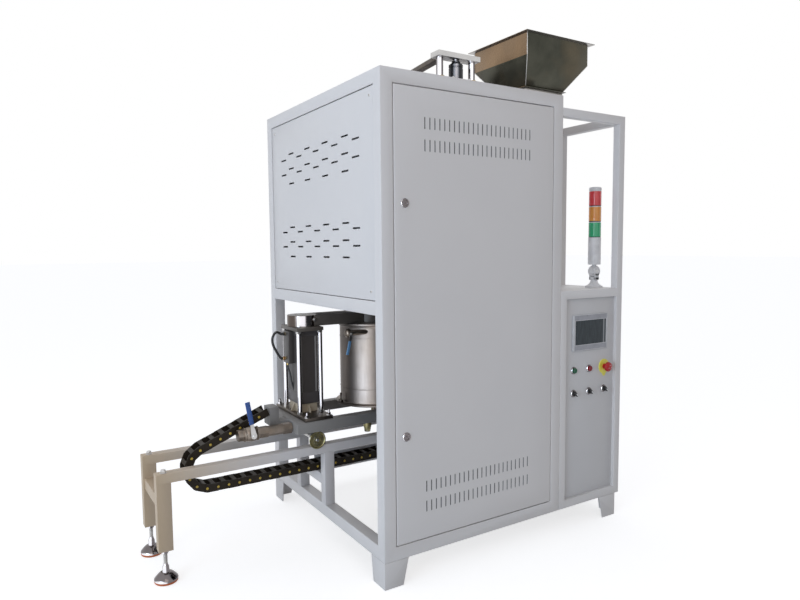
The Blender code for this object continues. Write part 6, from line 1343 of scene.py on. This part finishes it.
def make_barrel(centre, bottom, top):
    """The cylinder's barrel between its heads, with its air block, two hose fittings and a feed hose."""
    width, depth = BARREL_HALVES
    inset = BARREL_INSET
    lower, upper = bottom + BARREL_HEAD, top - BARREL_HEAD / 2
    piece = Piece("lift_barrel_fine")
    for z_low, z_high in ((bottom, lower - inset), (upper + inset, top)):
        piece.add("head", slab(centre, width, depth, z_low, z_high, BARREL_HEAD_EDGE, 3))
    piece.add("barrel", slab(centre, width - inset, depth - inset, bottom + inset, top - inset,
                             BARREL_EDGE, 3))
    across, beside = width - BARREL_BAND * 1.7, depth - BARREL_BAND * 1.7
    for x in (-1, 1):
        for y in (-1, 1):
            for place, half_x, half_y in (
                    ((x * across, y * (depth - inset), 0), BARREL_BAND / 2, inset / 2),
                    ((x * (width - inset), y * beside, 0), inset / 2, BARREL_BAND / 2)):
                piece.add("cart", slab(centre + Vector(place), half_x, half_y, lower, upper, inset / 3))
    piece.add("barrel", block(cabinet(*AIR_BLOCK_LOW), cabinet(*AIR_BLOCK_HIGH), SHEET, 3))
    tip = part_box("lift_barrel")[0].x
    face = CORNER + Vector((AIR_BLOCK_LOW[0], HOSE_Y, 0))
    for z, look in ((HOSE_TOP_Z, "black"), (HOSE_BOTTOM_Z, "brass")):
        piece.add("brass", hexagon(face + Vector((-HOSE_RADIUS, 0, z)), X, *FITTING_NUT))
        piece.add(look, bar(face + Z * z, X, tip - face.x, 0, FITTING_RADIUS, PLATE_EDGE))
    ring_place = (tip + FITTING_RING_IN, face.y, HOSE_BOTTOM_Z)
    piece.add("red_button", ring(ring_place, X, *FITTING_RING, FINE_SIDES))
    side = Vector((centre.x - width, face.y, 0))
    feed = [face + Vector(place) for place in FEED_TOP] + [side + Vector(place) for place in FEED_BOTTOM]
    piece.add("black", swept(smoothed(feed), FEED_RADIUS, 16))
    ferrule = face + Vector((*FEED_TOP[0][:2], 0))
    piece.add("brass", bar(ferrule, Z, *FEED_FERRULE)).done("cart", "lift_barrel")


def eased(inner, outer, low, high, edge=PLATE_EDGE):
    """The profile of a flat ring with eased corners."""
    return [(inner, low + edge), (inner + edge, low), (outer - edge, low), (outer, low + edge),
            (outer, high - edge), (outer - edge, high), (inner + edge, high), (inner, high - edge),
            (inner, low + edge)]


def make_lift_arm(centre, bucket):
    """The lift's arm with its boss, which has a painted highlight, and bolts, the piston rod and the bucket's
    cover.
    """
    low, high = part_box("lift_arm")
    bottom = high.z - ARM_THICKNESS
    edge = PLATE_EDGE
    piece = Piece("lift_arm_fine").add("boss", turned(centre + Z * bottom, Z, [
        (0, 0), (BOSS_RADIUS - edge, 0), (BOSS_RADIUS, edge), (BOSS_RADIUS, ARM_THICKNESS - edge),
        (BOSS_RADIUS - edge, ARM_THICKNESS), (0, ARM_THICKNESS)]))
    piece.add("arm", block((centre.x + ARM_START, centre.y - ARM_HALF_WIDTH, bottom + PROUD),
                           (bucket.x - ARM_END, centre.y + ARM_HALF_WIDTH, high.z - PROUD), SHEET))
    piece.add("arm", turned(bucket + Z * bottom, Z, eased(*LIFT_RING, 0, ARM_THICKNESS)))
    piece.add("chrome", bar(centre, Z, low.z, bottom + SHEET, LIFT_PISTON_RADIUS))
    piece.add("steel", hexagon(centre + Z * (high.z - SHEET), Z, *LIFT_NUT))
    spot = centre + Vector((ARM_START, -ARM_HALF_WIDTH - PROUD, bottom + ARM_BOLT_RISE))
    piece.fit(spot, -Y, *ARM_BOLT).done("lift", "lift_arm")
    low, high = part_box("bucket_cover")
    radius, depth = (high.x - low.x) / 2, high.z - low.z
    inner = eased(COVER_BORE, radius, 0, depth)
    outer = [(radius - SHEET, 0), (radius, SHEET), (radius, depth - SHEET), (radius - SHEET, depth)]
    cover = turned(bucket + Z * low.z, Z, [*inner[:2], *outer, *inner[6:]])
    Piece("bucket_cover_fine").add("bucket", cover).done("lift", "bucket_cover")


# Bucket and its pipes

BUCKET_RADIUS = 0.132
BUCKET_WALL = 0.0025
BUCKET_FLOOR = 0.492
BUCKET_SIDES = 128
# The rim's roll, the bucket's inner foot, and its outer foot and flange
RIM_ROLL = 0.0028
RIM_OUT = 0.0005
RIM_HEM = (0.010, 0.008)
BUCKET_FOOT = ((-0.006, 0.004), (0, 0.010))
BUCKET_SKIRT = ((0, 0.506), (0.002, 0.5015), (0.0045, 0.500))
BUCKET_FLANGE = ((0.150, 0.500), (0.152, 0.4985), (0.152, 0.4935), (0.1505, BUCKET_FLOOR), (0, BUCKET_FLOOR))
SEAM_ANGLE = 0.9
SEAM_RADIUS = 0.0012
HOOP_ZS = (0.560, 0.770)
HOOP = ((-0.001, -0.003), (0.0006, -0.002), (0.0010, 0), (0.0006, 0.002), (-0.001, 0.003), (-0.001, -0.003))
FLANGE_BOLT_PLACE = (0.040, 0.137)
FLANGE_BOLT = (0.5155, 0.0048)
FLANGE_NUT = ("steel", hexagon, 0.500, 0.0125, 0.0065)
FLANGE_NUT_BELOW = ("steel", hexagon, -0.4918, 0.0125, 0.006)
EAR_OUT = 0.0095
EAR_HALVES = (0.0055, 0.002)
EAR_ZS = (0.4995, 0.5108)
LATCH_RADIUS = 0.005
LATCH_STEM = ((0, 0), (0.0036, 0), (0.0030, 0.014), (0.0030, 0.020), (0.0042, 0.024), (0.0046, 0.029),
              (0.0036, 0.033), (0, 0.034))


def make_bucket():
    """The quench bucket: rolled rim, weld beads, flange, bolts and the latch's ears."""
    centre = cabinet(BUCKET_X, TRACK_MID, 0)
    low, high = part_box("quench_bucket")
    radius, inner = BUCKET_RADIUS, BUCKET_RADIUS - BUCKET_WALL
    profile = [(0, BUCKET_FLOOR + BUCKET_FOOT[0][1])]
    profile += [(inner + out, BUCKET_FLOOR + rise) for out, rise in BUCKET_FOOT]
    profile += [(inner, high.z - RIM_HEM[0])]
    profile += arc((radius + RIM_OUT, high.z - RIM_ROLL), (RIM_ROLL, RIM_ROLL), 180, -45, 12)
    profile += [(radius, high.z - RIM_HEM[1])] + [(radius + out, z) for out, z in BUCKET_SKIRT]
    piece = Piece("bucket_fine").add("bucket", turned(centre, Z, [*profile, *BUCKET_FLANGE], BUCKET_SIDES))
    seam = centre + Vector((-math.sin(SEAM_ANGLE), math.cos(SEAM_ANGLE), 0)) * (radius + PROUD)
    piece.add("bucket", swept([seam + Z * z / 100 for z in range(51, 81, 2)], SEAM_RADIUS, 8))
    hoop = [(radius + out, rise) for out, rise in HOOP]
    for z in HOOP_ZS:
        piece.add("bucket", turned(centre + Z * z, Z, hoop, BUCKET_SIDES))
    for x in (-FLANGE_BOLT_PLACE[0], FLANGE_BOLT_PLACE[0]):
        for y in (-FLANGE_BOLT_PLACE[1], FLANGE_BOLT_PLACE[1]):
            spot = centre + Vector((x, y, 0))
            piece.add("chrome", bar(spot, Z, low.z, *FLANGE_BOLT))
            piece.fit(spot, Z, FLANGE_NUT).fit(spot, -Z, FLANGE_NUT_BELOW)
    pivot = middle("bucket_latch")
    for y in (-EAR_OUT, EAR_OUT):
        place = Vector((pivot.x, centre.y + y, 0))
        piece.add("dark", slab(place, *EAR_HALVES, *EAR_ZS, PLATE_EDGE))
    piece.done("cart", "quench_bucket")
    low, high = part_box("bucket_latch")
    pivot.z = low.z + LATCH_RADIUS
    latch = Piece("latch_fine").add("dark", bar(pivot, Y, low.y - pivot.y, high.y - pivot.y, LATCH_RADIUS))
    latch.add("dark", turned(pivot, Z, LATCH_STEM)).done("latch", "bucket_latch")


def lever(node, lean, look):
    """A valve's flat lever in its sleeve, with its nut; it hangs down where it leans past level."""
    low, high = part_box(node)
    thickness = high.y - low.y
    along = Vector((-math.sin(lean), 0, math.cos(lean)))
    reach, rise = high.x - low.x, high.z - low.z
    lean_cos, lean_sin = abs(math.cos(lean)), abs(math.sin(lean))
    turned_share = lean_cos ** 2 - lean_sin ** 2
    whole = (rise * lean_cos - reach * lean_sin) / turned_share
    half = (reach * lean_cos - rise * lean_sin) / turned_share / 2
    pivot = middle(node) + along * (half - whole / 2)
    length = whole - half
    tip = half * 0.8
    waist = (length * 0.28, half * 0.62)
    outline = arc((length - tip, 0), (tip, tip), -90, 90, 8) + [waist]
    outline += arc((0, 0), (half, half), 90, 270, 8) + [(waist[0], -waist[1])]
    plate = prism(outline, "Y", -thickness * 0.2, thickness * 0.2)
    grip = block((length * 0.34, -thickness / 2, -half * 0.86), (length, thickness / 2, half * 0.86),
                 thickness * 0.42, 3)
    turn = set_along(pivot, along, Y, Y.cross(along))
    piece = Piece(node + "_fine").add("steel", moved(plate, turn)).add(look, moved(grip, turn))
    piece.add("steel", hexagon(pivot - Y * thickness * 0.15, -Y, half * 1.1, thickness * 0.7))
    piece.done(node, node)


PIPE_Y = 0.497
PIPE_Z = 0.455
DRAIN_LEAN = math.radians(10)
OVERFLOW_LEAN = math.radians(180 - 13)
# Along the drain pipe, from the cabinet's corner: from, to, radius, edge
DRAIN_TUBES = (
    (-0.118, 0.279, 0.017, 0.001), (-0.212, -0.150, 0.0195, 0.001), (-0.252, -0.232, 0.018, 0.001),
    (-0.3195, -0.3175, 0.0215, 0.0005), (-0.3155, -0.3135, 0.0215, 0.0005),
    (-0.3115, -0.3095, 0.0215, 0.0005), (-0.3015, -0.2975, 0.0262, 0.0008),
    (-0.2525, -0.2485, 0.0262, 0.0008))
# From, across its flats, length, edge
DRAIN_NUTS = ((-0.152, 0.0380, 0.035, 0.001), (-0.235, 0.0380, 0.025, 0.001),
              (-0.3255, 0.0375, 0.0235, 0.001), (-0.248, 0.0375, 0.0135, 0.001))
DRAIN_BALL_X = -0.275
DRAIN_BALL = ((0.014, -0.028), (0.0215, -0.028), (0.0225, -0.023))
DRAIN_BALL_ARC = ((0.0225, 0), (0.0045, 0.021))
DRAIN_STEM_RADIUS = 0.009
DRAIN_STEM_NUT = (0.017, 0.006)
DRAIN_RISER_X = 0.262
DRAIN_RISER_RADIUS = 0.0168
OVERFLOW_RADIUS = 0.0105
OVERFLOW_NUTS = ((0.0, 0.006), (0.026, 0.008), (0.046, 0.010))
OVERFLOW_NUT_ACROSS = 0.0190
OVERFLOW_BALL_X = 0.130
OVERFLOW_BALL = ((0, -0.011), (0.011, -0.011), (0.016, -0.007), (0.018, 0), (0.016, 0.007), (0.011, 0.011),
                 (0, 0.011))
OVERFLOW_STEM_RADIUS = 0.006


def make_pipes():
    """The drain pipe with its union and ball valve, the overflow valve, and both levers."""
    low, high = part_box("drain_pipe")
    start = cabinet(0, PIPE_Y, PIPE_Z)
    piece = Piece("drain_fine").add("pipe", *[bar(start, X, *tube) for tube in DRAIN_TUBES])
    piece.add("pipe", *[hexagon(start + X * x, X, *nut) for x, *nut in DRAIN_NUTS])
    ball_place = start + X * DRAIN_BALL_X
    back = [(radius, -height) for radius, height in DRAIN_BALL[::-1]]
    ball = [*DRAIN_BALL, *arc(*DRAIN_BALL_ARC, -90, 90, 8), *back, DRAIN_BALL[0]]
    piece.add("pipe", turned(ball_place, X, ball))
    piece.add("pipe", bar(ball_place, Y, low.y - start.y, 0, DRAIN_STEM_RADIUS))
    piece.add("pipe", hexagon((ball_place.x, low.y + SHEET, start.z), Y, *DRAIN_STEM_NUT))
    piece.add("pipe", bar(start + X * DRAIN_RISER_X, Z, 0, high.z - start.z, DRAIN_RISER_RADIUS))
    piece.done("cart", "drain_pipe")
    lever("drain_handle", DRAIN_LEAN, "blue")
    low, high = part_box("overflow_valve")
    start = Vector((low.x, high.y - (high.z - low.z) / 2, (low.z + high.z) / 2))
    valve = Piece("overflow_fine").add("pipe", bar(start, X, SHEET, high.x - low.x, OVERFLOW_RADIUS))
    for x, length in OVERFLOW_NUTS:
        valve.add("pipe", hexagon(start + X * x, X, OVERFLOW_NUT_ACROSS, length))
    ball_place = Vector((CORNER.x + OVERFLOW_BALL_X, start.y, start.z))
    valve.add("pipe", turned(ball_place, X, OVERFLOW_BALL))
    valve.add("pipe", bar(ball_place, Y, 0, low.y - start.y, OVERFLOW_STEM_RADIUS))
    valve.done("cart", "overflow_valve")
    lever("overflow_handle", OVERFLOW_LEAN, "sky")


# Cable chain and air hose

CHAIN_FRONT = 0.526
CHAIN_WIDTH = 0.062
CHAIN_HEIGHT = 0.030
CHAIN_LOW_Z = 0.2705
CHAIN_RIGHT = 0.640
CHAIN_BEND_X = -0.423
CHAIN_BEND_RADIUS = 0.0755
CHAIN_RISE = math.radians(22.0)
CHAIN_END_X = -0.189
CHAIN_PITCH = 0.040
CHAIN_PLATE = 0.0042
CHAIN_BAR_HALF = 0.0018
CHAIN_PIN = ((0, 0), (0.0047, 0), (0.0047, 0.0012), (0.0038, 0.0018), (0, 0.0018))
CHAIN_PIN_SUNK = 0.001
HOSE_PLACES = (
    (-0.0993, 0.8000), (-0.1040, 0.8000), (-0.1110, 0.8040), (-0.1190, 0.8080), (-0.1270, 0.8070),
    (-0.1340, 0.8000), (-0.1395, 0.7890), (-0.1410, 0.7770), (-0.1390, 0.7630), (-0.1340, 0.7490),
    (-0.1270, 0.7360), (-0.1200, 0.7230), (-0.1130, 0.7120), (-0.1080, 0.7055), (-0.1040, 0.7030),
    (-0.0993, 0.7030))


def chain_stations():
    """Points one link apart along the chain's centre line, along X and Z."""
    centre_z = CHAIN_LOW_Z + CHAIN_BEND_RADIUS
    rise_cos, rise_sin = math.cos(CHAIN_RISE), math.sin(CHAIN_RISE)
    lower = CHAIN_RIGHT - CHAIN_BEND_X
    arc_length = (math.pi - CHAIN_RISE) * CHAIN_BEND_RADIUS
    top_x = CHAIN_BEND_X - CHAIN_BEND_RADIUS * rise_sin
    top_z = centre_z + CHAIN_BEND_RADIUS * rise_cos
    whole = lower + arc_length + (CHAIN_END_X - CHAIN_HEIGHT / 2 * rise_sin - top_x) / rise_cos
    count = round(whole / CHAIN_PITCH)
    stations = []
    for k in range(count + 1):
        run = whole * k / count
        rest = run - lower - arc_length
        if run < lower:
            stations.append((CHAIN_RIGHT - run, 0, CHAIN_LOW_Z))
        elif rest < 0:
            angle = (run - lower) / CHAIN_BEND_RADIUS
            stations.append((CHAIN_BEND_X - CHAIN_BEND_RADIUS * math.sin(angle), 0,
                             centre_z - CHAIN_BEND_RADIUS * math.cos(angle)))
        else:
            stations.append((top_x + rest * rise_cos, 0, top_z + rest * rise_sin))
    return [Vector(station) for station in stations]


def make_chain():
    """The cable chain: side plates that overlap, cross bars, and a yellow pin at each joint."""
    piece = Piece("chain_links")
    stations = chain_stations()
    shift_x = X * CORNER.x
    size = CHAIN_HEIGHT / 2 * 0.985
    near, far = CORNER.y + CHAIN_FRONT, CORNER.y + CHAIN_FRONT + CHAIN_WIDTH
    for i, (first, second) in enumerate(zip(stations, stations[1:])):
        length = (second - first).length
        along = (second - first).normalized()
        turn = set_along(first + shift_x, along, Y, (-Y).cross(along))
        outline = arc((length, 0), (size * 0.62, size), -90, 90, 8)
        outline += arc((0, 0), (size * 0.45, size), 90, 270, 8)
        if i in (0, len(stations) - 2):
            outline = [(min(max(x, 0.0), length), z) for x, z in outline]
        shift = CHAIN_PLATE * 0.45 if i % 2 else 0.0
        for y in (near + shift, far - CHAIN_PLATE - shift):
            piece.add("chain", moved(prism(outline, "Y", y, y + CHAIN_PLATE), turn))
        for z in (CHAIN_BAR_HALF - size, size - CHAIN_BAR_HALF):
            crossbar = block((length * 0.22, near + CHAIN_PLATE / 2, z - CHAIN_BAR_HALF),
                             (length * 0.62, far - CHAIN_PLATE / 2, z + CHAIN_BAR_HALF), BAR_EDGE, 1)
            piece.add("chain", moved(crossbar, turn))
    for station in stations[1:-1]:
        for y, out in ((near, -Y), (far, Y)):
            spot = station + shift_x + Y * y - out * CHAIN_PIN_SUNK
            piece.add("pin", turned(spot, out, CHAIN_PIN, 20))
    made = piece.done(None)
    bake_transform(made)
    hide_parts("cable_chain")


def make_hose():
    """The looped air hose between the barrel's fittings."""
    places = smoothed([cabinet(x, HOSE_Y, z) for x, z in HOSE_PLACES])
    Piece("hose_fine").add("black", swept(places, HOSE_RADIUS, 20)).done("cart", "air_hose")


# Floor, light and background

FLOOR_HALF = 60
FLOOR_DROP = 0.0005
FLOOR_COLOUR = (0.62, 0.62, 0.62)
FLOOR_GLOW = 0.66
WHITE = (1, 1, 1)
SKY_STOPS = ((0.0, (0.250, 0.257, 0.268)), (0.25, (0.355, 0.365, 0.385)), (0.46, (0.47, 0.50, 0.56)),
             (0.60, (0.66, 0.67, 0.71)))
# Each light's name, place, aim, size, power and colour
LIGHTS = (("window", (-4.6, -2.2, 1.4), (0, -0.3, 0.9), 2.4, 92, (0.70, 0.84, 1.0)),
          ("front", (-1.4, -3.6, 3.6), (0, 0, 1.2), 2.5, 22, (1.0, 0.84, 0.74)))


def seen_share(tree):
    """1 for what the camera sees directly or in a mirror, and 0 for the light that falls on things."""
    path = tree.nodes.new("ShaderNodeLightPath")
    share = path.outputs["Is Camera Ray"]
    for ray in ("Is Transmission Ray", "Is Glossy Ray"):
        share = wire(tree, "Math", "Value", {0: share, 1: path.outputs[ray]}, operation="MAXIMUM")
    return share


def make_floor():
    """A plain pale floor that looks white, and keeps the object's shadow."""
    bm = bmesh.new()
    bmesh.ops.create_grid(bm, x_segments=1, y_segments=1, size=FLOOR_HALF)
    floor = placed("floor", bm)
    floor.location.z = -FLOOR_DROP
    look = Look("floor", FLOOR_COLOUR, 0.9, Specular_IOR_Level=0.0, Emission_Color=WHITE)
    look.feed("Emission Strength", wire(look.tree, "Math", "Value", {0: seen_share(look.tree), 1: FLOOR_GLOW},
                                        operation="MULTIPLY"))
    floor.data.materials.append(look.material)


def make_world():
    """A studio: white to the eye, and a cool light on things that is dimmer at the front."""
    world = bpy.data.worlds.new("studio")
    bpy.context.scene.world = world
    world.use_nodes = True
    tree = world.node_tree
    depth = wire(tree, "SeparateXYZ", "Y", {"Vector": wire(tree, "TexCoord", "Generated")})
    sky = ramp(tree, wire(tree, "MapRange", "Result", {"From Min": -1, "Value": depth}), SKY_STOPS)
    seen = wire(tree, "MixRGB", "Color", {"Color2": WHITE, "Fac": seen_share(tree), "Color1": sky})
    put(tree, tree.nodes["Background"].inputs["Color"], seen)
    put(tree, tree.nodes["Background"].inputs["Strength"], 1.0)


def make_lights():
    """A cool window light from the left, and a weak warm one from the front."""
    for name, place, aim, size, power, colour in LIGHTS:
        data = bpy.data.lights.new(name, "AREA")
        data.size = size
        data.energy = power
        data.color = colour
        made = bpy.data.objects.new(name, data)
        made.location = place
        made.rotation_euler = (Vector(aim) - Vector(place)).to_track_quat("-Z", "Y").to_euler()
        bpy.context.scene.collection.objects.link(made)


LOOKS = {row[0]: maker(*row[1:]) for maker, rows in FINISHES for row in rows}
make_camera()
make_world()
make_lights()
make_floor()
make_cabinet()
make_console()
make_touch_panel()
make_buttons()
make_signal_light()
make_hopper()
make_stopper_lift()
make_furnace()
make_track()
make_cart()
make_lift()
make_bucket()
make_pipes()
make_chain()
make_hose()
bpy.context.scene.view_settings.view_transform = "Standard"
